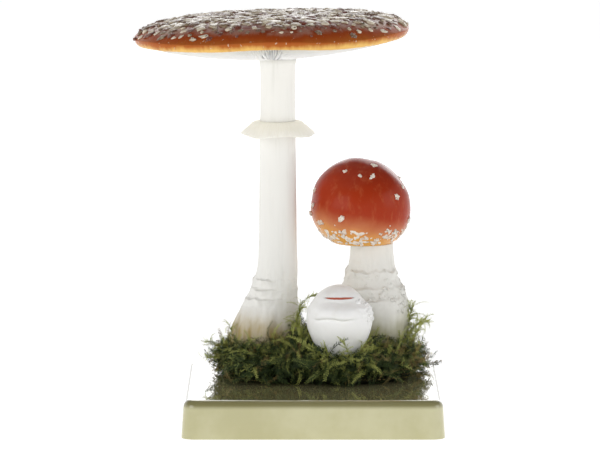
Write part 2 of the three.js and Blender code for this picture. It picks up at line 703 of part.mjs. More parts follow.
function makeButton() {
  const hollow = solidOf(buttonCore(SEAT_GAP)).add(solidOf(buttonSlit()));
  const veil = solidOf(buttonForm()).subtract(hollow);
  const bore = solidOf(bar(rodHole, -1, buttonRodTop + SEAT_GAP));
  const cup = veil.intersect(buttonBand(0, buttonParting - SEAT_GAP / 2)).subtract(bore);
  const hood = veil.intersect(buttonBand(buttonParting + SEAT_GAP / 2, 2 * buttonTop));
  const fungus = new THREE.Group();
  fungus.position.set(buttonX, buttonY, TRAY_HEIGHT);
  fungus.add(
    piece("button_cup", geometryOf(cup), COLOURS.veil, 0.4),
    piece("button_hood", geometryOf(hood), COLOURS.veil, 0.4),
    piece("button_cap", buttonCore(), COLOURS.ballCap, 0.3),
    ...fixings("button", buttonRodTop),
  );
  return fungus;
}

// Moss

// The cushion's reach from its centre: a rounded rectangle with an uneven edge.
function mossReach(angle) {
  const across = Math.abs(Math.cos(angle) / (MOSS_WIDTH / 2)) ** 3;
  const along = Math.abs(Math.sin(angle) / (MOSS_DEPTH / 2)) ** 3;
  const ragged = 1 + 0.018 * Math.sin(5 * angle + 1) + 0.014 * Math.sin(11 * angle);
  return ragged / Math.cbrt(across + along);
}

function mossCushion() {
  const flank = [[0, 0], [0.97, 0], [1, 0.45], [0.97, 0.9]];
  const top = [0.86, 0.68, 0.46, 0.22, 0].map((share) => [share, 1]);
  return press(turn([...flank, ...top], CAP_SIDES), (vertex) => {
    const [share, lift] = [Math.hypot(vertex.x, vertex.y), vertex.z];
    const reach = mossReach(Math.atan2(vertex.y, vertex.x));
    vertex.set(vertex.x * reach + MOSS_CENTRE_X, vertex.y * reach + MOSS_CENTRE_Y, 0);
    const lump = MOSS_LUMP * Math.sin(vertex.x * 0.19) * Math.sin(vertex.y * 0.23 + 1);
    const crown = MOSS_EDGE + (MOSS_CROWN - MOSS_EDGE) * (1 - share * share) + lump;
    vertex.z = SEAT_GAP + (crown - SEAT_GAP) * lift;
  });
}

function makeMoss() {
  const half = SEAT_GAP / 2;
  const [wide, deep] = [2 * MOSS_WIDTH, 2 * MOSS_DEPTH];
  const [oldPlace, youngPlace, buttonPlace] = [[OLD_X, OLD_Y], [YOUNG_X, YOUNG_Y], [buttonX, buttonY]];
  const shift = ([x, y], dx, dy) => [x + dx, y + dy];
  const back = [[-wide, OLD_Y + half], shift(oldPlace, 0, half), shift(youngPlace, 0, half)];
  const left = [[-wide, OLD_Y - half], shift(oldPlace, 0, -half), shift(youngPlace, -half, -half)];
  const pads = {
    moss_back: [...back, [wide, YOUNG_Y + half], [wide, deep], [-wide, deep]],
    moss_front_left: [
      [-wide, -deep], [buttonX - half, -deep], shift(buttonPlace, -half, 0), ...left.reverse(),
    ],
    moss_front_right: [
      [buttonX + half, -deep], [wide, -deep], [wide, YOUNG_Y - half],
      shift(youngPlace, half, -half), shift(buttonPlace, half, 0),
    ],
  };
  const stems = [
    [stemForm(oldStem, SEAT_GAP), oldPlace],
    [stemForm(youngStem, SEAT_GAP), youngPlace],
    [buttonForm(SEAT_GAP), buttonPlace],
  ];
  const cushion = stems.reduce(
    (solid, [stem, [x, y]]) => solid.subtract(solidOf(stem.translate(x, y, -2 * SEAT_GAP))),
    solidOf(mossCushion()),
  );
  const bed = new THREE.Group();
  bed.position.z = TRAY_HEIGHT;
  for (const [name, outline] of Object.entries(pads)) {
    const pad = cushion.intersect(solidOf(slab(polygon(outline), -MOSS_CROWN, 2 * MOSS_CROWN)));
    bed.add(piece(name, geometryOf(pad), COLOURS.moss, 0.95));
  }
  return bed;
}

// Assembly, with the centre of its footprint brought to the origin

const model = new THREE.Group();
model.add(
  makeTray([[OLD_X, OLD_Y], [YOUNG_X, YOUNG_Y], [buttonX, buttonY]]),
  makeOldToadstool(),
  makeYoungToadstool(),
  makeButton(),
  makeMoss(),
);
const footprint = new THREE.Box3().setFromObject(model, true).getCenter(new THREE.Vector3());
model.position.set(-footprint.x, -footprint.y, 0);

const toadstoolModel = new THREE.Group();
toadstoolModel.add(model);

export default toadstoolModel;
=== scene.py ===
"""Toadstool model: three fly agarics of three ages in moss on a glossy tray."""

import math
import random

import bmesh
import bpy
from bpy.props import FloatProperty, FloatVectorProperty, IntProperty, PointerProperty
from bpy.types import Operator, Panel, PropertyGroup
from mathutils import Matrix, Vector, noise


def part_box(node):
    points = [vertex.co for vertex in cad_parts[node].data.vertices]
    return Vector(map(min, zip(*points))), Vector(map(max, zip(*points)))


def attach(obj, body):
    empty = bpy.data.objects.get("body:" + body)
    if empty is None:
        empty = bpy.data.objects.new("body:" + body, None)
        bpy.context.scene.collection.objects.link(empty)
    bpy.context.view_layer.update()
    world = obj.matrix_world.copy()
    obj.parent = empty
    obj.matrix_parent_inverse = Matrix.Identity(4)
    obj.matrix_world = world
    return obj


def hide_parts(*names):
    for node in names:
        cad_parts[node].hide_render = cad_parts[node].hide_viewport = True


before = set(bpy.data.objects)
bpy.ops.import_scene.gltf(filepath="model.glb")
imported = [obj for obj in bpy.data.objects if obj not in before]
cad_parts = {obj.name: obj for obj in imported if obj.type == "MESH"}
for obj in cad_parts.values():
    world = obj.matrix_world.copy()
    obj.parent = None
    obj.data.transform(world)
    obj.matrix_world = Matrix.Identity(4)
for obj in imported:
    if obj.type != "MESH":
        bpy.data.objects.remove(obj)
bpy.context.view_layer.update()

bl_info = {
    "name": "Toadstool model",
    "version": (1, 0, 0),
    "blender": (4, 5, 0),
    "location": "3D View > Sidebar > Toadstool",
    "description": "Builds a display model of three toadstools in moss on a tray",
    "category": "Object",
}

MM = 0.001
TURN = 2 * math.pi
SEAT_GAP = 0.3 * MM
WELD = 0.01 * MM
ROD_BORE = 2.8 * MM
OLD_SPIGOT = 7.5 * MM
YOUNG_SPIGOT = 9 * MM
GILL_SOCKET = 7.8 * MM
GILL_ROOF = 2.6 * MM
VEIL_PARTING = 0.01 * MM
SOFT_EDGE = 0.4 * MM
ROD_THREAD = 13 * MM
GILL_CREASE = math.radians(35)
VEIL_CREASE = math.radians(50)
STEEL_CREASE = math.radians(25)
GOLDEN_ANGLE = math.pi * (3 - math.sqrt(5))
MOSS_PADS = ("moss_back", "moss_front_left", "moss_front_right")

# Marker radii, in metres, of surfaces that are turned far out and then settle to their form
OUTSIDE, NEAR_OUTSIDE, INSIDE, NEAR_INSIDE = 1.0, 0.75, 0.5, 0.4

# Numbers of sides of the turned pieces
STEM_SIDES, RING_SIDES, CAP_SIDES, GILL_SIDES = 112, 176, 220, 132
BALL_SIDES, DISC_SIDES, BUTTON_SIDES, CORE_SIDES = 150, 96, 128, 72
ROD_SIDES, NUT_SIDES, WASHER_SIDES = 28, 96, 64

# Soft lights: name, place and width in metres, power in watts
LIGHTS = (
    ("left_soft_light", (-1.7, -1.5, 1.1), 1.5, 11),
    ("back_soft_light", (0.3, 2.3, 1.1), 1.8, 15),
    ("right_soft_light", (2.0, -0.6, 0.9), 1.2, 5),
)
LIGHT_AIM = Vector((0.017, 0, 0.13))
SENSOR_WIDTH = 36
CAMERA_CLIP = 20
FLOOR_HALF = 4.0

# Stray sprigs: tone, number of shoots, size, and start, middle and end in millimetres above the tray
SPRIGS = (
    ("bright", 16, 0.66, (9, -12, 18), (6, -13, 34), (8, -14, 47)),
    ("bright", 10, 0.55, (7, -13, 42), (10, -13, 52), (17, -13, 56)),
    ("bright", 10, 0.85, (11, -14, 14), (9, -15, 26), (7, -15, 35)),
    ("green", 9, 0.85, (7, -9, 14), (7, -11, 24), (4, -12, 32)),
    ("bright", 20, 0.78, (76, 22, 14), (79, 21, 29), (83, 20, 41)),
    ("bright", 15, 0.66, (78, 18, 20), (84, 17, 30), (92, 16, 35)),
    ("bright", 11, 0.8, (79, 14, 12), (83, 13, 21), (86, 12, 28)),
    ("bright", 9, 0.5, (-34, 4, 16), (-37, 3, 26), (-39, 2, 33)),
    ("bright", 9, 0.5, (-40, 8, 12), (-47, 7, 19), (-52, 6, 22)),
    ("bright", 8, 0.45, (-42, -4, 10), (-49, -6, 14), (-55, -8, 14)),
    ("dry", 26, 0.1, (-46, 6, 8), (-62, 2, 13), (-75, -1, 7)),
    ("dry", 26, 0.1, (90, -8, 10), (103, -12, 12), (106, -15, -6)),
    ("dry", 34, 0.15, (46, -48, 5), (72, -51, 7), (95, -42, 10)),
    ("dry", 30, 0.15, (62, -49, 10), (80, -51, 13), (95, -38, 12)),
    ("dry", 26, 0.13, (-48, -36, 7), (-34, -46, 6), (-14, -50, 4)),
    ("bright", 7, 0.45, (20, -38, 14), (18, -43, 21), (16, -45, 26)),
    ("bright", 7, 0.45, (26, -40, 14), (26, -45, 20), (25, -47, 25)),
    ("bright", 7, 0.48, (38, -40, 14), (40, -46, 21), (38, -48, 28)),
    ("bright", 7, 0.45, (48, -36, 14), (52, -40, 21), (55, -42, 27)),
)


def box_of(node):
    return [Vector(corner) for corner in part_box(node)]


def plan_centre(node, level=0.0):
    """The middle of a node's box in plan, at a level."""
    low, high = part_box(node)
    return Vector(((low[0] + high[0]) / 2, (low[1] + high[1]) / 2, level))


TRAY_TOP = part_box("base_tray")[1][2]
OLD_PLACE = plan_centre("old_rod", TRAY_TOP)
YOUNG_PLACE = plan_centre("young_rod", TRAY_TOP)
BUTTON_PLACE = plan_centre("button_rod", TRAY_TOP)
TRAY_SIZE = [high - low for low, high in zip(*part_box("base_tray"))]
PAD_BOXES = [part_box(pad) for pad in MOSS_PADS]
CUSHION_LOW = Vector([min(low[i] for low, _ in PAD_BOXES) for i in range(3)])
CUSHION_HIGH = Vector([max(high[i] for _, high in PAD_BOXES) for i in range(3)])
CUSHION_MIDDLE = (CUSHION_LOW + CUSHION_HIGH) / 2
CUSHION_HALF = (CUSHION_HIGH - CUSHION_LOW) / 2


# Sizes and colours


def paint(code):
    """A colour written as six hexadecimal digits, as linear red, green and blue."""
    shares = [int(code[i:i + 2], 16) / 255 for i in (0, 2, 4)]
    return tuple(s / 12.92 if s < 0.04045 else ((s + 0.055) / 1.055) ** 2.4 for s in shares)


# Tints that mottle the finishes
TRAY_DUST = paint("e2dfc8")
TORN_SPECK = paint("aba493")
RING_STREAK = paint("e9e3d0")
CAP_SPECK = paint("d9c9b0")
# Pale film on the old cap: partly veil film, partly painted glare at the cap's left and right ends
CAP_FILM_AND_GLARE = paint("d8c0ae")
GILL_MOTTLE = paint("efe8d2")
BALL_VEIN = paint("cc7c50")
BALL_VEIL = paint("efefea")
BALL_VEIL_SHADE = paint("dcdcd2")
WART_SHADE = paint("d8b9a2")
WART_CRUMB = paint("fbf8f2")
STEEL_BLOOM = paint("8f9498")
FLOOR_DUST = paint("fafafa")


def amount(name, default, description, **unit):
    return FloatProperty(name=name, description=description, default=default, **unit)


def length(name, millimetres, description):
    return amount(name, millimetres * MM, description, precision=4, unit="LENGTH")


def turn(name, degrees, description):
    return amount(name, math.radians(degrees), description, unit="ROTATION")


def count(name, default, description):
    return IntProperty(name=name, description=description, default=default, min=1)


def colour(name, code, description):
    return FloatVectorProperty(
        name=name, description=description, default=paint(code), min=0, max=1, subtype="COLOR"
    )


def levels(name, millimetres, description):
    return FloatVectorProperty(
        name=name, description=description, default=[m * MM for m in millimetres],
        size=len(millimetres), unit="LENGTH",
    )


class TraySizes(PropertyGroup):
    width: length("Width", TRAY_SIZE[0] / MM, "Width of the tray")
    depth: length("Depth", TRAY_SIZE[1] / MM, "Depth of the tray from front to back")
    height: length("Height", TRAY_SIZE[2] / MM, "Height of the tray's top")
    wall: length("Wall", 2.5, "Thickness of the moulded wall")
    corner: length("Corner", 9, "Radius of the upright corners")
    edge: length("Edge", 5, "Radius of the rounded top edge")
    draft: length("Draft", 1.6, "How far the walls lean in from foot to top")
    gloss: colour("Gloss", "b9b485", "Olive cream gloss paint")
    worn: colour("Worn gloss", "c8c49a", "Paler patches of the gloss paint")
    # Painted shade: thin darkens the top and the rounded edge, standing in for the shade and dim
    # reflection there
    thin: colour("Painted edge shade", "7d7748", "Darker paint over the top and the rounded edge")


class MossSizes(PropertyGroup):
    seed: count("Seed", 11, "Start of the random draws for the shoots")
    shoots: count("Shoots", 6400, "Number of leafy shoots on the whole cushion")
    reach: length("Shoot length", 17, "Usual length of a shoot")
    leaf: length("Leaf length", 1.4, "Length of the longest leaves on a shoot")
    shade: colour("Shade", "141c0b", "Leaves deep in the cushion")
    leafy: colour("Leaf", "374922", "Most of the leaves")
    # The lit tip colour is partly young tips and partly painted light on shoots high up, by the stems
    # and on the sprigs
    bright: colour("Lit tip", "b4ba66", "Young tips of the shoots")
    dry: colour("Dry", "8a7448", "Dry shoots")
    soil: colour("Soil", "17180d", "Ground between the shoots")


class OldStemSizes(PropertyGroup):
    radius: length("Radius", 11.4, "Radius of the shaft at its top")
    taper: length("Taper", 2.4, "How much the shaft widens towards its foot")
    height: length("Height", 212.7, "Height of the shaft above the tray")
    flare: length("Flare", 1.3, "How far the shaft spreads under the gills")
    bulb_radius: length("Bulb radius", 22.9, "Radius of the bulb")
    bulb_level: length("Bulb level", 26, "Level of the bulb's widest part")
    bulb_spread: length("Bulb spread", 27.5, "How high the bulb runs up the shaft")
    foot_radius: length("Foot radius", 17, "Radius of the foot on the tray")
    lean: length("Lean", 7.7, "How far the bulb swells to one side")
    lean_top: length("Lean top", 78, "Level above which the shaft is upright")
    flutes: length("Flutes", 0.9, "Depth of the flutes low on the bulb")
    girdles: levels("Girdles", (52, 58.5, 65), "Levels of the torn ledges")
    ledge: length("Ledge", 2.1, "How far the torn ledges stand out")
    bare: amount("Bare", 0.8, "Share of the ledges lost on the right")
    flesh: colour("Flesh", "f0efea", "White flesh of the stem")
    streak: colour("Streak", "e0dfd8", "Grey streaks along the stem")
    stain: colour("Stain", "b0995a", "Earthy stain at the foot")


class YoungStemSizes(PropertyGroup):
    radius: length("Radius", 14.2, "Radius of the shaft")
    taper: length("Taper", 0, "How much the shaft widens towards its foot")
    height: length("Height", 86.5, "Height of the shaft above the tray")
    flare: length("Flare", 0, "How far the shaft spreads at its top")
    bulb_radius: length("Bulb radius", 25.8, "Radius of the bulb")
    bulb_level: length("Bulb level", 40, "Level of the bulb's widest part")
    bulb_spread: length("Bulb spread", 22, "How high the bulb runs up the shaft")
    foot_radius: length("Foot radius", 19, "Radius of the foot on the tray")
    lean: length("Lean", 0, "How far the bulb swells to one side")
    lean_top: length("Lean top", 86.5, "Level above which the shaft is upright")
    flutes: length("Flutes", 0, "Depth of the flutes low on the bulb")
    girdles: levels("Girdles", (50, 58, 69), "Levels of the torn ledges")
    ledge: length("Ledge", 3.2, "How far the torn ledges stand out")
    bare: amount("Bare", 0.55, "Share of the ledges lost on the right")
    scales: count("Scales", 150, "Number of small scales on the bulb")
    flesh: colour("Flesh", "ebeae4", "White flesh of the stem")
    streak: colour("Streak", "dad8d0", "Grey streaks along the stem")
    stain: colour("Stain", "a9a57c", "Green stain at the foot")


class RingSizes(PropertyGroup):
    below_top: length("Below top", 41.7, "How far the ring hangs below the shaft's top")
    collar: length("Collar", 3, "Height of the collar on the shaft")
    shelf: length("Shelf", 4.6, "Width of the ring's flat shelf")
    skirt: length("Skirt", 8, "Width of the sloping skirt")
    drop: length("Drop", 8.8, "How far the skirt hangs down")
    thickness: length("Thickness", 1.4, "Thickness of the ring")
    wave: length("Wave", 0.7, "How far the hem waves up and down")
    cream: colour("Cream", "f5f2e6", "Cream flesh of the ring")
    edge: colour("Hem", "faf8f0", "Paler hem of the ring")


class CapSizes(PropertyGroup):
    radius: length("Radius", 91.5, "Radius of the old cap")
    height: length("Height", 13.5, "Height of the dome above its widest level")
    level: length("Level", 228.5, "Level of the cap's widest part above the tray")
    fullness: amount("Fullness", 6.5, "How flat the dome is")
    wall: length("Wall", 3, "Thickness of the cap's shell")
    rim_drop: length("Rim drop", 5.2, "How far the rim turns down")
    rim_lip: length("Rim lip", 3.5, "How far the rim turns in")
    land: length("Land", 2, "Width of the rim's underside")
    ledge: length("Ledge", 2, "Ledge that the gill plate seats against")
    offset: length("Offset", -4, "How far the cap sits to one side of its stem")
    side_tilt: turn("Side tilt", 1.9, "Tilt of the cap from left to right")
    front_tilt: turn("Front tilt", -1.2, "Tilt of the cap from front to back")
    rim_wave: length("Rim wave", 0.9, "How far the rim wanders up and down")
    end_lift: length("End lift", 2.3, "How far the left and right ends of the cap turn up")
    flakes: count("Flakes", 620, "Number of torn flakes on the cap")
    flake_size: length("Flake size", 5.2, "Usual half width of a flake")
    crown: colour("Crown", "783018", "Dark red skin between the flakes")
    band: colour("Band", "a24618", "Red brown skin of the rounded edge")
    edge: colour("Edge", "b2642a", "Orange skin low on the edge")
    margin: colour("Margin", "eabc6a", "Yellow edge of the rim")
    flake: colour("Flake", "a18a6a", "Grey beige flakes")
    flake_pale: colour("Pale flake", "f0e2ca", "White flakes")
    flake_dark: colour("Dark flake", "6c4a34", "Weathered flakes")


class GillSizes(PropertyGroup):
    blades: count("Blades", 72, "Number of gills that reach the hub")
    thickness: length("Thickness", 0.7, "Thickness of a gill at its root")
    drop: length("Drop", 15.5, "Depth of the gill plate at its hub")
    plate: length("Plate", 2, "Thickness of the plate that carries the gills")
    outer_depth: length("Outer depth", 1.4, "Depth of the gills at the rim")
    depth: length("Depth", 3.6, "Depth of the gaps between the gills")
    shallow: length("Shallow", 48, "How far from the hub the gaps reach their depth")
    hub: length("Hub", 14, "Radius of the hub that sits on the stem")
    flesh: colour("Flesh", "fcfbf7", "White gills")
    shade: colour("Shade", "f4f0e2", "Cream tint near the rim")


class BallSizes(PropertyGroup):
    radius: length("Radius", 33.6, "Radius of the ball cap")
    crown: length("Crown", 33, "Height of the cap above its widest level")
    skirt: length("Skirt", 23, "Depth of the cap below its widest level")
    mouth: length("Mouth", 19.5, "Radius of the cap's mouth")
    wall: length("Wall", 3, "Thickness of the cap's shell")
    level: length("Level", 109.8, "Level of the cap's widest part above the tray")
    offset: length("Offset", -4.6, "How far the cap sits to one side of its stem")
    bulge: length("Bulge", 3, "How far the cap swells to one side")
    shoulder_lean: turn("Shoulder lean", 46, "Lean of the flattened shoulder from upright")
    shoulder_reach: length("Shoulder reach", 29.5, "How far out the flattening starts")
    swell: length("Swell", 2.9, "How far the near shoulder swells out")
    swell_lean: turn("Swell lean", 36, "Lean of the swollen shoulder from upright")
    veil: length("Veil", 3, "Thickness of the veil that closes the mouth")
    crumbs: count("Crumbs", 260, "Number of small crumbs between the warts")
    red: colour("Red", "a43312", "Glossy red skin")
    # The deep red also darkens the right side of the ball cap as painted shade
    deep: colour("Deep red", "8a2a16", "Darker skin towards the top")
    orange: colour("Orange", "da9565", "Orange skin towards the margin")
    yellow: colour("Yellow", "e6a848", "Yellow margin")
    wart: colour("Wart", "efe6da", "White warts")


class ButtonSizes(PropertyGroup):
    radius: length("Radius", 22.1, "Radius of the button")
    level: length("Level", 42, "Level of the button's widest part above the tray")
    crown: length("Crown", 23, "Height of the button above its widest level")
    stalk_radius: length("Stalk radius", 10.5, "Radius of the stalk in the moss")
    stalk_height: length("Stalk height", 16, "Height of the stalk")
    veil: length("Veil", 0.5, "Thickness of the white veil at the tear")
    parting_rise: length("Parting rise", 15.5, "Height of the tear above the widest level")
    slit_height: length("Slit height", 1.35, "Height of the tear at the front")
    slit_width: length("Slit width", 27, "Width of the tear")
    fold: length("Fold", 2.6, "How far the folded veil rolls out")
    crumbs: count("Crumbs", 26, "Number of torn crumbs beside the tear")
    white: colour("White", "fefefd", "Satin white veil")
    shade: colour("Shade", "f4f3f0", "Grey hollows of the veil")
    # Painted light: this red is lighter than the ball cap's red to make up for the shade inside the tear
    red: colour("Red", "d2745c", "Red cap seen through the tear")


class FixingSizes(PropertyGroup):
    pitch: length("Pitch", 0.8, "Pitch of the thread")
    depth: length("Thread depth", 0.35, "Depth of the thread")
    chamfer: turn("Chamfer", 30, "Slope of the nuts' chamfered corners")
    steel: colour("Steel", "b9bcbf", "Zinc plated steel")


class StageSizes(PropertyGroup):
    distance: length("Distance", 3047.75, "How far the camera stands in front")
    side: length("Side", 7.9, "How far the camera stands to the right")
    eye: length("Eye", 524, "Height of the camera")
    pitch: turn("Pitch", 7.42, "How far the camera looks down")
    lens: amount("Lens", 276, "Focal length of the camera", unit="CAMERA")
    floor: colour("Floor", "f6f6f6", "Pale studio floor")
    floor_glow: amount("Floor glow", 0.7, "Light that the floor gives off")


class ToadstoolSizes(PropertyGroup):
    tray: PointerProperty(type=TraySizes)
    moss: PointerProperty(type=MossSizes)
    old_stem: PointerProperty(type=OldStemSizes)
    young_stem: PointerProperty(type=YoungStemSizes)
    ring: PointerProperty(type=RingSizes)
    cap: PointerProperty(type=CapSizes)
    gills: PointerProperty(type=GillSizes)
    ball: PointerProperty(type=BallSizes)
    button: PointerProperty(type=ButtonSizes)
    fixings: PointerProperty(type=FixingSizes)
    stage: PointerProperty(type=StageSizes)


# Finishes


class Value:
    """A socket of a finish, on which arithmetic adds Math nodes."""

    def __init__(self, finish, socket):
        self.finish = finish
        self.socket = socket

    def math(self, operation, first, second=0.0):
        return self.finish.node("ShaderNodeMath", {"operation": operation}, {0: first, 1: second})

    def __add__(self, other):
        return self.math("ADD", self, other)

    def __radd__(self, other):
        return self.math("ADD", other, self)

    def __sub__(self, other):
        return self.math("SUBTRACT", self, other)

    def __rsub__(self, other):
        return self.math("SUBTRACT", other, self)

    def __mul__(self, other):
        return self.math("MULTIPLY", self, other)

    def __rmul__(self, other):
        return self.math("MULTIPLY", other, self)

    def __truediv__(self, other):
        return self.math("DIVIDE", self, other)

    def __rtruediv__(self, other):
        return self.math("DIVIDE", other, self)

    def __pow__(self, other):
        return self.math("POWER", self, other)


class Nodes:
    """A node tree that is built from expressions."""

    def __init__(self, tree):
        self.tree = tree

    def node(self, kind, settings=None, sockets=None, output=0):
        """Adds a node with its settings and its sockets' values or links."""
        made = self.tree.nodes.new(kind)
        for key, setting in (settings or {}).items():
            if key == "stops":
                self.set_stops(made.color_ramp, setting)
            else:
                setattr(made, key, setting)
        for key, content in (sockets or {}).items():
            self.plug(made.inputs[key], content)
        return Value(self, made.outputs[output])

    def set_stops(self, ramp, stops):
        while len(ramp.elements) < len(stops):
            ramp.elements.new(1.0)
        for element, (position, tone) in zip(ramp.elements, stops):
            element.position = position
            element.color = (*tone, 1.0)

    def plug(self, socket, content):
        if isinstance(content, Value):
            self.tree.links.new(content.socket, socket)
        elif socket.type == "RGBA" and len(content) == 3:
            socket.default_value = (*content, 1.0)
        else:
            socket.default_value = content

    def place(self, centre=(0, 0, 0), scale=(1, 1, 1)):
        """Object coordinates, counted from a centre and stretched."""
        coordinates = self.node("ShaderNodeTexCoord", output="Object")
        shift = [-c * s for c, s in zip(centre, scale)]
        return self.node(
            "ShaderNodeMapping", {}, {"Vector": coordinates, "Location": shift, "Scale": scale}
        )

    def parts(self, vector):
        node = self.node("ShaderNodeSeparateXYZ", {}, {0: vector}).socket.node
        return [Value(self, output) for output in node.outputs]

    def grain(self, vector, scale, detail=3.0, rough=0.55):
        sockets = {"Vector": vector, "Scale": scale, "Detail": detail, "Roughness": rough}
        return self.node("ShaderNodeTexNoise", {}, sockets)

    def between(self, content, low, high, to_low=0.0, to_high=1.0):
        """Maps a value between two limits to another pair, smoothly and held at the ends."""
        sockets = {0: content, 1: low, 2: high, 3: to_low, 4: to_high}
        return self.node("ShaderNodeMapRange", {"interpolation_type": "SMOOTHSTEP"}, sockets)

    def mix(self, share, first, second):
        return self.node("ShaderNodeMix", {"data_type": "RGBA"}, {0: share, 6: first, 7: second}, 2)

    def ramp(self, content, stops):
        return self.node("ShaderNodeValToRGB", {"stops": stops}, {0: content})

    def painted(self, name):
        """A number that the mesh holds at each of its vertices."""
        return self.node("ShaderNodeAttribute", {"attribute_name": name}, {}, "Fac")

    def bearing(self, x, y):
        return self.node("ShaderNodeMath", {"operation": "ARCTAN2"}, {0: y, 1: x})

    def joined(self, x, y, z):
        return self.node("ShaderNodeCombineXYZ", {}, {0: x, 1: y, 2: z})


class Finish(Nodes):
    """A material with one Principled shader, whose changing inputs are fed from nodes."""

    def __init__(self, name, fixed):
        self.material = bpy.data.materials.new(name)
        self.material.use_nodes = True
        super().__init__(self.material.node_tree)
        self.shader = self.tree.nodes["Principled BSDF"]
        self.feed(fixed)

    def feed(self, sockets):
        for name, content in sockets.items():
            self.plug(self.shader.inputs[name], content)

    def coat(self, tone, rough):
        self.feed({"Base Color": tone, "Roughness": rough})

    def bump(self, height, strength, distance):
        """Feeds a bump and hands over the finished material."""
        sockets = {"Strength": strength, "Distance": distance, "Height": height}
        self.feed({"Normal": self.node("ShaderNodeBump", {}, sockets)})
        return self.material


def tray_gloss(tray):
    finish = Finish("tray_gloss", {"Coat Weight": 1.0, "Coat Roughness": 0.03, "Coat IOR": 1.5})
    place = finish.place()
    cloud = finish.grain(place, 22, 4)
    smear = finish.grain(finish.place(scale=(0.3, 1, 1)), 160, 5, 0.7)
    dust = finish.between(finish.grain(place, 1400, 2), 0.66, 0.74)
    tone = finish.mix(finish.between(cloud, 0.35, 0.65), tray.gloss, tray.worn)
    # Painted shade: the rounded top edge is darkened towards the thin colour, and the top itself a
    # little less
    _, _, z = finish.parts(finish.place((0, 0, tray.height)))
    edge = finish.between(z, -6 * MM, -2.5 * MM) * finish.between(z, -0.8 * MM, -0.2 * MM, 1.0, 0.7)
    tone = finish.mix(0.8 * edge, tone, tray.thin)
    finish.coat(finish.mix(0.12 * dust, tone, TRAY_DUST), 0.04 + 0.08 * smear + 0.1 * dust)
    return finish.bump(finish.grain(place, 120, 2) + 0.2 * dust, 0.05, 0.2 * MM)


def stem_flesh(name, stem, centre):
    finish = Finish(name, {"Specular IOR Level": 0.35})
    place = finish.place()
    streak = finish.grain(finish.place(scale=(1, 1, 0.05)), 520, 4, 0.6)
    wisp = finish.grain(finish.place(scale=(1, 1, 0.12)), 150, 3)
    blotch = finish.grain(place, 70, 4, 0.6)
    x, _, z = finish.parts(finish.place(centre))
    tone = finish.mix(finish.between(0.4 * streak + 0.6 * wisp, 0.48, 0.8), stem.flesh, stem.streak)
    low = finish.between(z, 18 * MM, 56 * MM, 1.0, 0.0)
    side = finish.between(x, -24 * MM, 12 * MM, 1.0, 0.75)
    stained = finish.between(low * side * (0.6 + 0.8 * blotch), 0.08, 0.75)
    fibres = finish.between(wisp, 0.35, 0.62, 0.7, 1.0)
    tone = finish.mix(stained * fibres, tone, stem.stain)
    torn = finish.between(z, 40 * MM, 52 * MM) * finish.between(z, 64 * MM, 76 * MM, 1.0, 0.0)
    speck = finish.between(finish.grain(place, 330, 3, 0.7), 0.56, 0.7)
    tone = finish.mix(0.14 * torn * speck, tone, TORN_SPECK)
    finish.coat(tone, 0.38 + 0.2 * streak)
    return finish.bump(0.7 * streak + 0.5 * wisp + 0.3 * finish.grain(place, 900, 2), 0.03, 0.3 * MM)


def ring_flesh(ring, centre, hem):
    finish = Finish("ring_flesh", {"Specular IOR Level": 0.4})
    x, y, z = finish.parts(finish.place(centre))
    out = (x * x + y * y) ** 0.5
    spokes = finish.joined(14 * finish.bearing(x, y), 60 * out, 40 * z)
    streak = finish.grain(spokes, 3, 3, 0.6)
    tone = finish.mix(finish.between(out, 0.75 * hem, hem), ring.cream, ring.edge)
    tone = finish.mix(0.3 * finish.between(streak, 0.45, 0.7), tone, RING_STREAK)
    finish.coat(tone, 0.4 + 0.2 * streak)
    return finish.bump(streak, 0.2, 0.3 * MM)


def cap_skin(cap, centre):
    gloss = {"Coat Weight": 0.04, "Coat Roughness": 0.1, "Specular IOR Level": 0.06}
    finish = Finish("old_cap_skin", gloss)
    place = finish.place()
    x, y, z = finish.parts(finish.place(centre))
    z = z - math.tan(cap.side_tilt) * x - math.tan(cap.front_tilt) * y
    spokes = finish.joined(11 * finish.bearing(x, y), 40 * z, 0.0)
    ray = finish.grain(spokes, 2.2, 3, 0.6)
    cloud = finish.grain(place, 46, 4, 0.6)
    level = z + 7 * MM * (cloud - 0.5) + 3.5 * MM * (ray - 0.5)
    share = (level + cap.rim_drop) / (cap.rim_drop + cap.height)
    stops = [
        (0.0, cap.margin), (0.05, cap.margin), (0.22, cap.edge), (0.46, cap.band), (0.85, cap.crown),
    ]
    tone = finish.ramp(share, stops)
    speck = finish.between(finish.grain(place, 420, 2), 0.68, 0.72)
    tone = finish.mix(0.7 * speck, tone, CAP_SPECK)
    film = finish.between(finish.grain(place, 95, 4, 0.65), 0.36, 0.6)
    film = film * finish.between(share, 0.5, 0.7)
    # Painted glare: the pale film is laid on more thickly towards the left and right ends of the cap
    end = finish.between((x * x) ** 0.5, 0.4 * cap.radius, 0.9 * cap.radius, 0.3, 0.75)
    tone = finish.mix(end * film, tone, CAP_FILM_AND_GLARE)
    finish.coat(tone, 0.2 + 0.15 * cloud)
    return finish.bump(0.6 * ray + 0.5 * cloud, 0.2, 0.4 * MM)


def flake_crust(cap):
    finish = Finish("flake_crust", {"Coat Weight": 0.65, "Coat Roughness": 0.15})
    place = finish.place()
    tone = finish.painted("tone")
    crumb = finish.grain(place, 900, 4, 0.7)
    cloud = finish.grain(place, 260, 3)
    shade = tone + 0.5 * (cloud - 0.5)
    stops = [(0.0, cap.crown), (0.15, cap.flake_dark), (0.5, cap.flake), (0.9, cap.flake_pale)]
    crust = finish.ramp(shade, stops)
    crust = finish.mix(0.5 * finish.between(crumb, 0.5, 0.75), crust, cap.flake_pale)
    finish.coat(crust, 0.35 + 0.35 * crumb)
    return finish.bump(crumb + cloud, 0.2, 0.3 * MM)


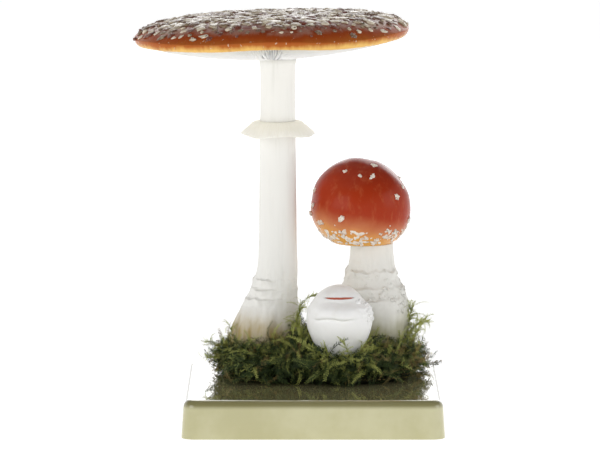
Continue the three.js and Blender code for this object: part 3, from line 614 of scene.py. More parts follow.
def gill_flesh(gills, cap, centre):
    glow = {
        "Subsurface Weight": 1.0, "Subsurface Scale": 9 * MM, "Subsurface Radius": (1, 0.95, 0.9),
    }
    finish = Finish("gill_flesh", {"Specular IOR Level": 0.2, **glow})
    place = finish.place()
    x, y, _ = finish.parts(finish.place(centre))
    out = (x * x + y * y) ** 0.5 / cap.radius
    mottle = finish.grain(place, 140, 4, 0.6)
    tone = finish.mix(finish.between(out, 0.55, 0.95), gills.flesh, gills.shade)
    tone = finish.mix(0.3 * finish.between(mottle, 0.5, 0.75), tone, GILL_MOTTLE)
    finish.coat(tone, 0.55 + 0.2 * mottle)
    return finish.bump(finish.grain(place, 1200, 2), 0.3, 0.2 * MM)


def ball_skin(ball, centre):
    gloss = {"Coat Weight": 0.08, "Coat Roughness": 0.14, "Specular IOR Level": 0.1}
    finish = Finish("ball_cap_skin", gloss)
    place = finish.place()
    x, _, z = finish.parts(finish.place(centre))
    cloud = finish.grain(place, 38, 4, 0.6)
    vein = finish.grain(finish.place(scale=(1, 1, 0.35)), 240, 4, 0.65)
    # Painted shade: the x term darkens the right side of the cap towards the deep red and lightens the
    # left
    height = z / ball.crown + 0.35 * (cloud - 0.5) + 0.18 * x / ball.radius
    tone = finish.mix(finish.between(height, 0.2, 1.0), ball.red, ball.deep)
    tone = finish.mix(finish.between(height, -0.6, 0.04, 1.0, 0.0), tone, ball.orange)
    tone = finish.mix(finish.between(height, -0.72, -0.3, 1.0, 0.0), tone, ball.yellow)
    tone = finish.mix(0.18 * finish.between(vein, 0.5, 0.7), tone, BALL_VEIN)
    finish.coat(tone, 0.18 + 0.12 * vein)
    return finish.bump(0.2 * vein + 0.4 * finish.grain(place, 700, 2), 0.25, 0.3 * MM)


def veil_felt(name, white, shade):
    finish = Finish(name, {"Specular IOR Level": 0.35})
    place = finish.place()
    cloud = finish.grain(place, 90, 4, 0.6)
    fibre = finish.grain(finish.place(scale=(0.25, 0.25, 1)), 700, 4, 0.65)
    tone = finish.mix(finish.between(cloud, 0.48, 0.8), white, shade)
    finish.coat(tone, 0.3 + 0.25 * fibre)
    return finish.bump(0.6 * fibre + 0.4 * cloud, 0.12, 0.4 * MM)


def wart_crumb(ball):
    finish = Finish("wart_crumb", {"Specular IOR Level": 0.35})
    place = finish.place()
    crumb = finish.grain(place, 1100, 4, 0.7)
    cloud = finish.grain(place, 300, 3)
    tone = finish.mix(finish.between(cloud, 0.45, 0.72), ball.wart, WART_SHADE)
    tone = finish.mix(0.6 * finish.between(crumb, 0.5, 0.72), tone, WART_CRUMB)
    finish.coat(tone, 0.4 + 0.3 * crumb)
    return finish.bump(crumb + 0.6 * cloud, 0.5, 0.4 * MM)


def moss_leaf(moss):
    finish = Finish("moss_leaf", {"Specular IOR Level": 0.25})
    tone = finish.painted("tone")
    dry = finish.painted("dry")
    mottle = finish.grain(finish.place(), 500, 3)
    stops = [(0.0, moss.shade), (0.5, moss.leafy), (1.0, moss.bright)]
    green = finish.ramp(tone + 0.35 * (mottle - 0.5), stops)
    finish.coat(finish.mix(dry, green, moss.dry), 0.5 + 0.3 * mottle)
    return finish.material


def moss_soil(moss):
    finish = Finish("moss_soil", {"Specular IOR Level": 0.1})
    place = finish.place()
    crumb = finish.grain(place, 420, 5, 0.7)
    tone = finish.mix(finish.between(crumb, 0.4, 0.7), moss.soil, moss.shade)
    finish.coat(tone, 0.75 + 0.2 * crumb)
    return finish.bump(crumb, 0.8, 1.0 * MM)


def plated_steel(fixings):
    finish = Finish("plated_steel", {"Metallic": 1.0})
    place = finish.place()
    bloom = finish.grain(place, 260, 4, 0.6)
    scratch = finish.grain(finish.place(scale=(1, 0.1, 1)), 1500, 2)
    tone = finish.mix(finish.between(bloom, 0.45, 0.7), fixings.steel, STEEL_BLOOM)
    finish.coat(tone, 0.24 + 0.2 * bloom + 0.1 * scratch)
    return finish.bump(scratch, 0.15, 0.1 * MM)


# Shapes


def ease(number, start, end):
    """Zero before start, one after end and a smooth rise between."""
    share = min(max((number - start) / (end - start), 0.0), 1.0)
    return share * share * (3 - 2 * share)


def steps(first, last, number):
    return [first + (last - first) * i / (number - 1) for i in range(number)]


def wander(angle, level, around, along, seed=0.0):
    """Smooth noise on an upright surface, with so many features around and per metre along."""
    spot = (around * math.cos(angle), around * math.sin(angle), along * level + 7.3 * seed)
    return noise.noise(Vector(spot))


def turned(profile, sides, closed=False):
    """A profile of radius and height spun round the upright axis."""
    bm = bmesh.new()
    corners = [bm.verts.new((radius, 0, height)) for radius, height in profile]
    pairs = list(zip(corners, corners[1:]))
    if closed:
        pairs.append((corners[-1], corners[0]))
    edges = [bm.edges.new(pair) for pair in pairs]
    bmesh.ops.spin(
        bm, geom=corners + edges, cent=(0, 0, 0), axis=(0, 0, 1), angle=TURN, steps=sides,
        use_merge=True,
    )
    bmesh.ops.remove_doubles(bm, verts=bm.verts, dist=WELD / 10)
    bmesh.ops.recalc_face_normals(bm, faces=bm.faces)
    return bm


def press(bm, move):
    """Moves every vertex to where move says, from its radius, angle and height."""
    for vertex in bm.verts:
        x, y, z = vertex.co
        vertex.co = move(math.hypot(x, y), math.atan2(y, x), z)
    return bm


def upright(radius, angle, height):
    return Vector((radius * math.cos(angle), radius * math.sin(angle), height))


def shift(bm, place):
    bmesh.ops.translate(bm, verts=bm.verts, vec=place)


def stamp(bm, shape, matrix):
    """Adds a copy of a small mesh, put in place by a matrix."""
    shape.transform(matrix)
    bm.from_mesh(shape)
    shape.transform(matrix.inverted())


def stand(place, direction, spin, scale):
    """A matrix that stands a shape on a place, facing a direction and turned about it."""
    facing = Vector(direction).normalized().to_track_quat("Z", "Y").to_matrix().to_4x4()
    turn_by = Matrix.Rotation(spin, 4, "Z")
    size = Matrix.Diagonal((*scale, 1.0)) if isinstance(scale, tuple) else Matrix.Scale(scale, 4)
    return Matrix.Translation(place) @ facing @ turn_by @ size


def mesh_of(name, bm):
    """Makes a mesh from a bmesh, which is then let go."""
    mesh = bpy.data.meshes.new(name)
    bm.to_mesh(mesh)
    bm.free()
    return mesh


def discard(meshes):
    for mesh in meshes:
        bpy.data.meshes.remove(mesh)


def strew(seed, shapes, number, seat):
    """Stamps shapes, turned at random, each with the spot, direction and scale that seat draws."""
    draw = random.Random(seed)
    bm = bmesh.new()
    for i in range(number):
        spot, facing, scale = seat(draw, i)
        stamp(bm, draw.choice(shapes), stand(spot, facing, draw.uniform(0, TURN), scale))
    discard(shapes)
    return bm


def add_piece(name, bm, finish, replaced=(), place=(0, 0, 0)):
    """Makes a smooth piece from a bmesh moved to its place, and lets it ride on the model."""
    shift(bm, place)
    mesh = mesh_of(name, bm)
    mesh.shade_smooth()
    mesh.materials.append(finish)
    made = bpy.data.objects.new(name, mesh)
    bpy.context.scene.collection.objects.link(made)
    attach(made, "root")
    if replaced:
        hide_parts(*replaced)
    return made


def even_normals(piece):
    """Keeps flat faces flat beside rounded edges."""
    piece.modifiers.new("Flat faces", "WEIGHTED_NORMAL").keep_sharp = True


# Tray


def tray_shell(tray):
    bm = bmesh.new()
    block = Matrix.Diagonal((tray.width, tray.depth, tray.height, 1.0))
    bmesh.ops.create_cube(bm, size=1.0, matrix=Matrix.Translation((0, 0, tray.height / 2)) @ block)
    uprights = [e for e in bm.edges if abs(e.verts[0].co.z - e.verts[1].co.z) > tray.height / 2]
    round_edges(bm, uprights, tray.corner, 10)
    top = max(bm.faces, key=lambda face: face.calc_center_median().z)
    round_edges(bm, list(top.edges), tray.edge, 8)
    bottom = min(bm.faces, key=lambda face: face.calc_center_median().z)
    bmesh.ops.delete(bm, geom=[bottom], context="FACES_ONLY")
    for vertex in bm.verts:
        lean = 1 - 2 * tray.draft * vertex.co.z / tray.height / tray.width
        vertex.co.x *= lean
        vertex.co.y *= lean
    bmesh.ops.recalc_face_normals(bm, faces=bm.faces)
    bmesh.ops.solidify(bm, geom=bm.faces[:], thickness=tray.wall)
    for vertex in bm.verts:
        vertex.co.z = max(vertex.co.z, 0)
    return bm


def round_edges(bm, edges, radius, segments):
    bmesh.ops.bevel(
        bm, geom=edges, offset=radius, offset_type="OFFSET", affect="EDGES", segments=segments,
        profile=0.5, material=-1,
    )


# Stems

LEDGE_RUN = 5 * MM
LEDGE_CLIMB = 4.3 * MM
LEDGE_OVERHANG = 0.35 * MM
LEDGE_LIP = 0.5 * MM
FLARE_LENGTH = 6 * MM
FLUTES_AROUND = 8
ROUGH_MARGIN = 6 * MM
SMOOTH_MARGIN = 4 * MM


def girdles_out(stem, level, angle):
    """How far the torn ledges of the bulb stand out: each fades away below its ragged edge."""
    out = 0.0
    for i, girdle in enumerate(stem.girdles):
        ragged = 1.3 * wander(angle, i, 3.1, 5) + 0.7 * wander(angle, i, 11, 5, 3)
        edge = girdle + 0.55 * ragged * stem.ledge
        torn = max(0.15, 0.45 + 0.55 * math.sin((2 + i % 3) * angle + 2.1 * i - 0.4))
        torn *= 1 + 0.5 * wander(angle, i, 6, 5, 9)
        torn *= 1 - stem.bare * ease(math.cos(angle), 0.3, 0.9)
        rise = (level - edge + LEDGE_RUN) / LEDGE_CLIMB
        lip = ease(edge + LEDGE_OVERHANG - level, 0, LEDGE_LIP)
        out += stem.ledge * torn * min(max(rise, 0), 1) * lip
    return out


def stem_radius(stem, level, angle):
    """A bulb that swells above the foot and dies away into the shaft."""
    above = (level - stem.bulb_level) / stem.bulb_spread
    below = min(max((stem.bulb_level - level) / stem.bulb_level, 0), 1)
    if level < stem.bulb_level:
        body = stem.foot_radius + (stem.bulb_radius - stem.foot_radius) * math.sqrt(1 - below ** 2)
    else:
        slim = stem.radius + stem.taper * (1 - level / stem.height)
        body = slim + (stem.bulb_radius - slim) * math.exp(-above * above)
    flare = stem.flare * math.exp((level - stem.height) / FLARE_LENGTH)
    fluted = ease(level, 0, stem.bulb_level)
    fluted *= 1 - ease(level, stem.bulb_level, stem.girdles[0])
    wave = math.cos(FLUTES_AROUND * angle + 1.2 * wander(angle, level, 2, 30))
    return body + flare + stem.flutes * fluted * wave


def stem_lean(stem, level):
    return stem.lean * (1 - ease(level, stem.bulb_level, stem.lean_top))


def stem_skin(stem, level, angle):
    """The stem's finished surface: body, ledges, ribs and small lumps."""
    low = 1 - ease(level, stem.girdles[2], stem.girdles[2] + 20 * MM)
    ribs = 0.12 * wander(angle, level, 6, 9, 1) + 0.03 * wander(angle, level, 22, 14, 2)
    lumps = low * (0.5 * wander(angle, level, 5, 130, 4) + 0.3 * wander(angle, level, 14, 420, 5))
    radius = stem_radius(stem, level, angle) + girdles_out(stem, level, angle)
    radius += (ribs + lumps) * MM
    place = upright(radius, angle, level)
    place.x -= stem_lean(stem, level)
    return place


def stem_body(stem, spigot, top):
    """The stem with its spigot on top and its bore below."""
    torn_foot, torn_top = stem.girdles[0] - ROUGH_MARGIN, stem.girdles[2] + SMOOTH_MARGIN
    rough = steps(SEAT_GAP, torn_foot, 44)
    torn = steps(torn_foot, torn_top, 64)[1:]
    shaft = steps(torn_top, stem.height, 40)[1:]
    skin = [(OUTSIDE, level) for level in rough + torn + shaft]
    cap = [(spigot, stem.height), (spigot, top), (ROD_BORE, top)]
    bm = turned([(ROD_BORE, SEAT_GAP)] + skin + cap, STEM_SIDES, closed=True)

    def settle(radius, angle, level):
        if radius > NEAR_OUTSIDE:
            return stem_skin(stem, level, angle)
        lean = stem_lean(stem, level) if radius > 1.5 * ROD_BORE else 0
        return upright(radius, angle, level) - Vector((lean, 0, 0))

    return press(bm, settle)


def extruded(bm, faces):
    """The vertices and the faces of a region that is raised from some faces."""
    grown = bmesh.ops.extrude_face_region(bm, geom=faces)["geom"]
    vertices = [part for part in grown if isinstance(part, bmesh.types.BMVert)]
    return vertices, [part for part in grown if isinstance(part, bmesh.types.BMFace)]


def torn_disc(bm, draw, sides, ragged, foot):
    """A ragged flat disc at the foot of a torn shape."""
    rim = bmesh.ops.create_circle(bm, cap_ends=True, segments=sides, radius=1.0)["verts"]
    for vertex in rim:
        vertex.co *= draw.uniform(*ragged)
        vertex.co.z = foot
    return bm.faces[:]


def lump(seed, sides=7):
    """A small torn crumb: a ragged low dome of a couple of dozen faces."""
    draw = random.Random(seed)
    bm = bmesh.new()
    faces = torn_disc(bm, draw, sides, (0.7, 1.2), -0.35)
    for width, rise in ((0.86, 0.75), (0.5, 0.4)):
        ring, faces = extruded(bm, faces)
        for vertex in ring:
            vertex.co.x *= width * draw.uniform(0.85, 1.1)
            vertex.co.y *= width * draw.uniform(0.85, 1.1)
            vertex.co.z += rise * draw.uniform(0.6, 1.25)
    bmesh.ops.recalc_face_normals(bm, faces=bm.faces)
    return mesh_of("lump", bm)


def stem_scales(stem):
    """Small warty scales that ring the bulb, thickest below its ledges."""

    def seat(draw, i):
        angle = draw.uniform(0, TURN) if i % 3 else draw.gauss(-0.5, 0.45)
        band = draw.choice((0, 1, 1, 2))
        level = stem.girdles[band] - draw.uniform(-1, 9) * MM
        spot = stem_skin(stem, level, angle)
        up = stem_skin(stem, level + 1 * MM, angle) - spot
        side = stem_skin(stem, level, angle + 0.02) - spot
        size = draw.uniform(0.5, 1.7) * MM
        scale = (size * draw.uniform(1.0, 1.8), size, size * draw.uniform(0.4, 0.7))
        return spot, side.cross(up), scale

    return strew(70, [lump(70 + i) for i in range(6)], stem.scales, seat)


# Old toadstool: ring, cap and gills


def ring_hole(ring, stem):
    return stem_radius(stem, stem.height - ring.below_top, 0) + SEAT_GAP


def ring_skirt(ring, stem):
    level = stem.height - ring.below_top
    hole = ring_hole(ring, stem)
    shelf = hole + ring.shelf
    hem = shelf + ring.skirt
    slope = math.atan2(ring.skirt, ring.drop)
    back, down = ring.thickness * math.cos(slope), ring.thickness * math.sin(slope)
    above = [(hole, level), (hole + 1.5 * MM, level - 0.05 * MM)]
    bend = [(shelf - 1 * MM, level - 0.3 * MM), (shelf + 0.4 * MM, level - 1.1 * MM)]
    outer = [(hem - ring.skirt * (1 - s), level - 1.1 * MM - (ring.drop - 1.1 * MM) * s ** 1.1)
             for s in steps(0.12, 1, 10)]
    lip = [(hem - 0.2 * MM, level - ring.drop - 0.5 * MM), (hem - back, level - ring.drop - down / 2)]
    inner = [(shelf - back + (hem - shelf) * s, level - ring.thickness - down - (ring.drop - 2 * MM) * s)
             for s in steps(0.9, 0, 8)]
    collar = [(hole + ring.thickness, level - ring.collar), (hole, level - ring.collar)]
    bm = turned(above + bend + outer + lip + inner + collar, RING_SIDES, closed=True)

    def drape(radius, angle, height):
        out = ease(radius, shelf, hem)
        rib = 0.08 * math.sin(58 * angle + 3 * wander(angle, 0, 3, 1)) + 0.5 * wander(angle, 0, 7, 1, 2)
        height += out * (ring.wave * math.sin(4 * angle + 1) + rib * MM)
        radius += out * 0.6 * MM * wander(angle, 0, 12, 1, 5)
        return upright(radius, angle, height)

    return press(bm, drape)


def cap_mouth(cap):
    """Radius of the opening inside the cap's turned-in rim."""
    return cap.radius - cap.rim_lip - cap.land


def dome_height(cap, radius):
    return cap.height * (1 - min(radius / cap.radius, 1.0) ** cap.fullness)


def askew(cap, hub, place):
    """Sets a point of the cap or gills askew on the stem, leaving the hub square."""
    radius = math.hypot(place.x, place.y)
    angle = math.atan2(place.y, place.x)
    away = ease(radius, hub, 2 * hub)
    rim = (radius / cap.radius) ** 3
    wave = math.sin(3 * angle + 0.6) + 0.6 * math.sin(7 * angle)
    tilt = math.tan(cap.side_tilt) * place.x + math.tan(cap.front_tilt) * place.y
    ends = cap.end_lift * ease(abs(place.x) / cap.radius, 0.72, 0.98)
    rise = away * tilt + rim * cap.rim_wave * wave + ends
    return place + Vector((away * cap.offset, 0, rise))


def cap_shell(cap, hub):
    mouth = cap_mouth(cap)
    dome = [cap.radius * math.sin(a) for a in steps(0, math.pi / 2, 46)]
    rim = steps(0, math.pi / 2, 9)[1:]
    outer = [(radius, dome_height(cap, radius)) for radius in dome]
    curl = [(cap.radius - cap.rim_lip * (1 - math.cos(a)), -cap.rim_drop * math.sin(a)) for a in rim]
    seat = [(mouth, -cap.rim_drop), (mouth, -cap.ledge / 2), (mouth - cap.ledge, -cap.ledge / 2)]
    inner = [(r, dome_height(cap, r) - cap.wall) for r in steps(mouth - cap.ledge, 0, 10)]
    bm = turned(outer + curl + seat + inner, CAP_SIDES)

    def roughen(radius, angle, height):
        share = radius / cap.radius
        spot = upright(radius, angle, 0) / (9 * MM)
        rise = 0.35 * MM * noise.noise(spot) * (1 - ease(share, 0.8, 1))
        ripple = ease(share, 0.86, 1) * 0.22 * MM * wander(angle, 0, 26, 1, 3)
        return askew(cap, hub, upright(radius, angle, height + rise + ripple))

    return press(bm, roughen)


def flake(seed):
    """A torn flake of the outer veil: a ragged plate with a broken top, about 30 faces."""
    draw = random.Random(seed)
    bm = bmesh.new()
    tone = bm.verts.layers.float.new("tone")
    faces = torn_disc(bm, draw, 10, (0.62, 1.2), -0.4)
    shade = draw.uniform(-0.2, 0.9)
    for width, rise in ((1.0, 0.75), (0.78, 0.3), (0.45, draw.uniform(0.05, 0.3))):
        ring, faces = extruded(bm, faces)
        for vertex in ring:
            vertex.co.x *= width * draw.uniform(0.88, 1.08)
            vertex.co.y *= width * draw.uniform(0.88, 1.08)
            vertex.co.z += rise * draw.uniform(0.7, 1.3)
            vertex[tone] = shade + draw.uniform(0.0, 0.35)
    bmesh.ops.recalc_face_normals(bm, faces=bm.faces)
    return mesh_of("flake", bm)


def cap_flakes(cap, hub):
    """Flakes packed over the dome in a spiral, thinning out towards the rim."""

    def seat(draw, i):
        share = math.sqrt((i + 0.5) / cap.flakes)
        bearing = i * GOLDEN_ANGLE
        ragged = 0.93 + 0.055 * abs(math.cos(bearing)) + 0.05 * wander(bearing, 0, 4, 1, 4)
        radius = ragged * cap.radius * share + draw.uniform(-1.2, 1.2) * MM
        angle = bearing + draw.uniform(-0.5, 0.5) * 2 * MM / max(radius, 2 * MM)
        slope = (dome_height(cap, radius + MM) - dome_height(cap, radius - MM)) / (2 * MM)
        facing = Vector((-slope * math.cos(angle), -slope * math.sin(angle), 1))
        frontal = 0.65 - 0.45 * abs(math.cos(angle))
        size = cap.flake_size * draw.uniform(0.35, 1.15) * (1.0 - frontal * ease(share, 0.74, 0.96))
        thick = draw.uniform(0.4, 1.6) * MM
        place = upright(abs(radius), angle, dome_height(cap, radius))
        return place, facing, (size, size * draw.uniform(0.7, 1.0), thick)

    bm = strew(5, [flake(40 + i) for i in range(20)], cap.flakes, seat)
    for vertex in bm.verts:
        vertex.co = askew(cap, hub, vertex.co)
    return bm


def gill_edge(gills, cap, radius):
    """Level of the gills' lower edge, from the rim in to the hub."""
    mouth = cap_mouth(cap)
    inward = (mouth - radius) / (mouth - gills.hub)
    outer = gills.outer_depth + cap.ledge / 2 + SEAT_GAP + gills.plate
    return -outer - (gills.drop - outer) * math.sin(inward * math.pi / 2)


def gill_tier(gills, cap, start, first, number):
    """One ring of like gills: a thin tapering blade spun into copies."""
    end = cap_mouth(cap) - 2 * SEAT_GAP - gills.thickness
    root = -cap.ledge / 2 - SEAT_GAP - gills.plate * 0.7
    bm = bmesh.new()
    bmesh.ops.create_cube(bm, size=1.0)
    along = [e for e in bm.edges if abs(e.verts[0].co.x - e.verts[1].co.x) > 0.5]
    bmesh.ops.subdivide_edges(bm, edges=along, cuts=7, use_grid_fill=True)
    for vertex in bm.verts:
        radius = start + (end - start) * (vertex.co.x + 0.5)
        low = vertex.co.z < 0
        thin = gills.thickness * (0.4 if low else 1.0)
        fade = ease(radius, start, start + 4 * MM) if start > gills.hub + 4 * MM else 1.0
        level = root + (gill_edge(gills, cap, radius) - root) * fade if low else root
        vertex.co = (radius, vertex.co.y * thin, level)
    blade = bm.verts[:] + bm.edges[:] + bm.faces[:]
    bmesh.ops.rotate(bm, verts=bm.verts, matrix=Matrix.Rotation(first, 3, "Z"))
    bmesh.ops.spin(
        bm, geom=blade, cent=(0, 0, 0), axis=(0, 0, 1), angle=TURN * (number - 1) / number,
        steps=number - 1, use_duplicate=True,
    )
    return bm


def gill_plate(gills, cap):
    """The plate between the gills, which follows their edges so that no gap is too deep."""
    top = -cap.ledge / 2 - SEAT_GAP
    edge = cap_mouth(cap) - SEAT_GAP
    roof = top - GILL_ROOF

    def under(radius):
        gap = gills.depth * ease(radius, gills.hub, gills.hub + gills.shallow)
        return min(top - gills.plate, gill_edge(gills, cap, radius) + gap)

    plate = [(r, top) for r in steps(ROD_BORE, edge, 10)[1:]]
    plate += [(r, under(r)) for r in steps(edge, gills.hub, 24)]
    hub = [(gills.hub, -gills.drop), (GILL_SOCKET, -gills.drop), (GILL_SOCKET, roof)]
    bore = [(ROD_BORE, roof), (ROD_BORE, top)]
    return turned(plate + hub + bore, GILL_SIDES, closed=True)


def gill_fan(gills, cap):
    """The gill plate with its three tiers of gills, every one a little out of true."""
    step = TURN / gills.blades
    room = cap_mouth(cap) - gills.hub
    tiers = (
        (gills.hub + 0.4 * MM, 0, gills.blades),
        (gills.hub + 0.42 * room, step / 2, gills.blades),
        (gills.hub + 0.68 * room, step / 4, 2 * gills.blades),
    )
    bm = gill_plate(gills, cap)
    for start, first, copies in tiers:
        tier = mesh_of("tier", gill_tier(gills, cap, start, first, copies))
        bm.from_mesh(tier)
        discard([tier])
    for vertex in bm.verts:
        radius = math.hypot(vertex.co.x, vertex.co.y)
        angle = math.atan2(vertex.co.y, vertex.co.x)
        deep = ease(-vertex.co.z, 3 * MM, 9 * MM)
        sway = 0.35 * MM * deep * noise.noise(Vector((radius / (9 * MM), 30 * angle, 0)))
        place = upright(radius, angle + sway / max(radius, gills.hub), vertex.co.z)
        vertex.co = askew(cap, gills.hub, place)
    return bm


# Young toadstool: ball cap, veil and warts


def ball_point(ball, tilt, grow=0.0):
    skirt = ball.skirt / math.sqrt(1 - (ball.mouth / ball.radius) ** 2)
    height = ball.crown if tilt > 0 else skirt
    return (ball.radius + grow) * math.cos(tilt), (height + grow) * math.sin(tilt)


def ball_mouth_tilt(ball):
    return -math.acos(ball.mouth / ball.radius)


def ball_swell(ball, place):
    """How far a point moves out with the near shoulder of the cap."""
    lean = Vector((-math.sin(ball.swell_lean), 0, math.cos(ball.swell_lean)))
    outward = place.normalized()
    return ball.swell * ease(outward.dot(lean), 0.72, 1.0) * outward


def ball_bulge(ball, height):
    """How far the cap bulges to one side at a height."""
    return Vector((ball.bulge * math.cos(height / ball.crown * math.pi / 2), 0, 0))


def ball_settle(ball, place):
    """Swells the near shoulder of the cap, bulges its side and flattens its far shoulder."""
    place = place + ball_swell(ball, place)
    place = place - ball_bulge(ball, place.z)
    shoulder = Vector((math.sin(ball.shoulder_lean), 0, math.cos(ball.shoulder_lean)))
    over = max(place.dot(shoulder) - ball.shoulder_reach + 2 * MM, 0)
    return place - 0.6 * over * over / (over + 5 * MM) * shoulder


def ball_dent(place):
    """How far the skin of the cap is dented at a place."""
    return noise.noise(place / (11 * MM)) * 0.35 * MM


def ball_skin_point(ball, tilt, angle):
    radius, height = ball_point(ball, tilt)
    dent = ball_dent(upright(radius, angle, height))
    place = upright(radius + dent * math.cos(tilt), angle, height + dent * math.sin(tilt))
    return ball_settle(ball, place)


def ball_shell(ball):
    mouth = ball_mouth_tilt(ball)
    tilts = steps(mouth, math.pi / 2, 58)
    seat = ball.veil - ball.skirt
    inner = [ball_point(ball, t, -ball.wall) for t in steps(math.pi / 2, mouth, 24)]
    inner = [(radius, height) for radius, height in inner if height > seat]
    throat = ball.mouth - ball.wall
    wall = inner + [(throat, seat), (throat, -ball.skirt)]
    skin = [ball_point(ball, tilt) for tilt in tilts]
    bm = turned(wall + skin, BALL_SIDES)

    def dent(radius, angle, height):
        place = upright(radius, angle, height)
        tilt = math.asin(max(min(height / ball.crown, 1), -1))
        outside = radius > ball_point(ball, tilt, -ball.wall / 2)[0]
        depth = ball_dent(place) if outside else 0.0
        return ball_settle(ball, place + place.normalized() * depth)

    return press(bm, dent)


def veil_disc(ball, spigot):
    rim = ball.mouth - ball.wall - SEAT_GAP
    top = ball.veil - SEAT_GAP - ball.skirt
    hole = spigot + 0.4 * MM
    rings = steps(hole, rim, 9)
    under = [(r, -ball.skirt + 0.35 * MM * math.sin(i * 1.9)) for i, r in enumerate(rings)]
    bm = turned(under + [(r, top) for r in reversed(rings)], DISC_SIDES, closed=True)

    def centre(radius, angle, height):
        share = (rim - radius) / (rim - hole)
        place = upright(radius, angle, height) - Vector((share * ball.offset, 0, 0))
        return place - ball_bulge(ball, height) * (1 - share)

    return press(bm, centre)


def ball_warts(ball, place):
    """A ragged cluster of crumbs where each of the solid warts sits."""
    draw = random.Random(23)
    shapes = [lump(3 + i, 9) for i in range(10)]
    bm = bmesh.new()
    for node in wart_nodes():
        low, high = box_of(node)
        facing = ((low + high) / 2 - place).normalized()
        spot = (low + high) / 2 - 0.45 * MM * facing + ball_swell(ball, facing)
        half = max(high - low) / 2
        seat = stand(spot, facing, draw.uniform(0, TURN), 1.0)
        for i in range(draw.choice((4, 5, 6))):
            size = half * (draw.uniform(0.75, 0.95) if i == 0 else draw.uniform(0.35, 0.6))
            away = 0.0 if i == 0 else half * draw.uniform(0.4, 0.75)
            scale = (size, size * draw.uniform(0.6, 0.9), draw.uniform(0.9, 1.7) * MM)
            beside = upright(away, draw.uniform(0, TURN), 0)
            crumb = stand(beside, (0, 0, 1), draw.uniform(0, TURN), scale)
            stamp(bm, draw.choice(shapes), seat @ crumb)
    discard(shapes)
    return bm


def wart_nodes():
    return sorted(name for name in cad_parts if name.startswith("young_wart"))


def ball_crumbs(ball):
    """Small crumbs of veil strewn over the cap, thickest along its margin."""

    def seat(draw, _):
        margin = draw.random() < 0.95
        tilt = draw.uniform(-0.86, -0.42) if margin else draw.uniform(-0.5, 1.2)
        angle = draw.uniform(0, TURN)
        spot = ball_skin_point(ball, tilt, angle)
        facing = upright(math.cos(tilt), angle, math.sin(tilt))
        size = (draw.uniform(0.5, 1.7) if margin else draw.uniform(0.25, 0.7)) * MM
        return spot, facing, (size * draw.uniform(1, 2.2), size, size * 0.6)

    return strew(31, [lump(60 + i) for i in range(8)], ball.crumbs, seat)


# Button

FOLD_RISE = 11 * MM
NIP_WIDTH = 0.9 * MM
NIP_DEPTH = 1.1 * MM
TORN_FROM = (40 * MM, 46 * MM)
TORN_TO = (50 * MM, 54 * MM)


def button_radius(button, level):
    """An ellipse above the widest level, drawn in to a stalk below."""
    up = min(max((level - button.level) / button.crown, 0), 1)
    drawn = ease(level, button.stalk_height, button.level)
    body = button.stalk_radius + (button.radius - button.stalk_radius) * math.sqrt(drawn)
    dome = button.radius * math.sqrt(1 - up * up)
    return body if level < button.level else dome


def button_draw(button, level, angle):
    """The share of its width that the veil keeps where it draws in above the fold."""
    above = ease(level, button.level + 8 * MM, button.level + 14 * MM)
    return 1 - (0.1 + 0.05 * math.cos(angle)) * above


def button_wall(button, share, level, angle):
    """A point inside the veil, at a share of the way up the red cap's dome."""
    reach = (button.radius - button.veil) * math.sqrt(max(1 - share * share, 0))
    return upright(reach * button_draw(button, level, angle), angle, level)


def button_fold(button, level, angle):
    """How far the folded veil stands out over the crease across the front."""
    front = 1 - ease(abs(angle + math.pi / 2 + 0.15), 0.3, 0.85)
    crease = button.level + (1.8 + 0.5 * math.sin(7 * angle + 2.2)) * MM
    up = min(max((level - crease) / FOLD_RISE, 0), 1)
    roll = 2.6 * math.sqrt(up) * (1 - up)
    nip = math.exp(-((level - crease) / NIP_WIDTH) ** 2)
    return front * (button.fold * roll - NIP_DEPTH * nip)


def button_skin(button, level, angle):
    lumps = 0.35 * wander(angle, level, 3, 60, 1) + 0.14 * wander(angle, level, 8, 220, 2)
    torn_side = ease(math.cos(angle + 0.5), 0.8, 0.97) * ease(level, *TORN_FROM)
    torn_side *= 1 - ease(level, *TORN_TO)
    crag = 0.9 * torn_side * (0.4 + wander(angle, level, 16, 500, 6))
    radius = button_radius(button, level) * button_draw(button, level, angle)
    return radius + button_fold(button, level, angle) + (lumps + crag) * MM


def slit_open(button, angle):
    """Half the height of the tear at an angle round the button."""
    across = button.radius * 0.86 * math.cos(angle) / (button.slit_width / 2)
    if math.sin(angle) > 0 or abs(across) >= 1:
        return 0.0
    return button.slit_height / 2 * (1 - across ** 4)


def button_cup(button):
    """The lower veil with its stalk, up to the tear."""
    parting = button.level + button.parting_rise
    rim = parting - VEIL_PARTING
    floor = button.level - SEAT_GAP
    waist = button.level - 1 * MM
    skin = steps(SEAT_GAP, waist, 26) + steps(waist, rim, 34)[1:]
    outer = [(OUTSIDE, level) for level in skin]
    inner = [(INSIDE, level) for level in steps(rim, floor, 8)]
    bore = [(ROD_BORE, floor), (ROD_BORE, button.stalk_height)]
    bm = turned([(ROD_BORE, SEAT_GAP)] + outer + inner + bore, BUTTON_SIDES, closed=True)

    def settle(radius, angle, level):
        near = ease(level, parting - 7 * MM, rim)
        level -= near * (slit_open(button, angle) - 0.2 * MM * wander(angle, 0, 20, 1, 3))
        if radius > NEAR_OUTSIDE:
            return upright(button_skin(button, level, angle), angle, level)
        if radius > NEAR_INSIDE:
            share = min((level - floor) / (button.crown - button.veil), 1)
            return button_wall(button, share, level, angle)
        return upright(radius, angle, level)

    return press(bm, settle)


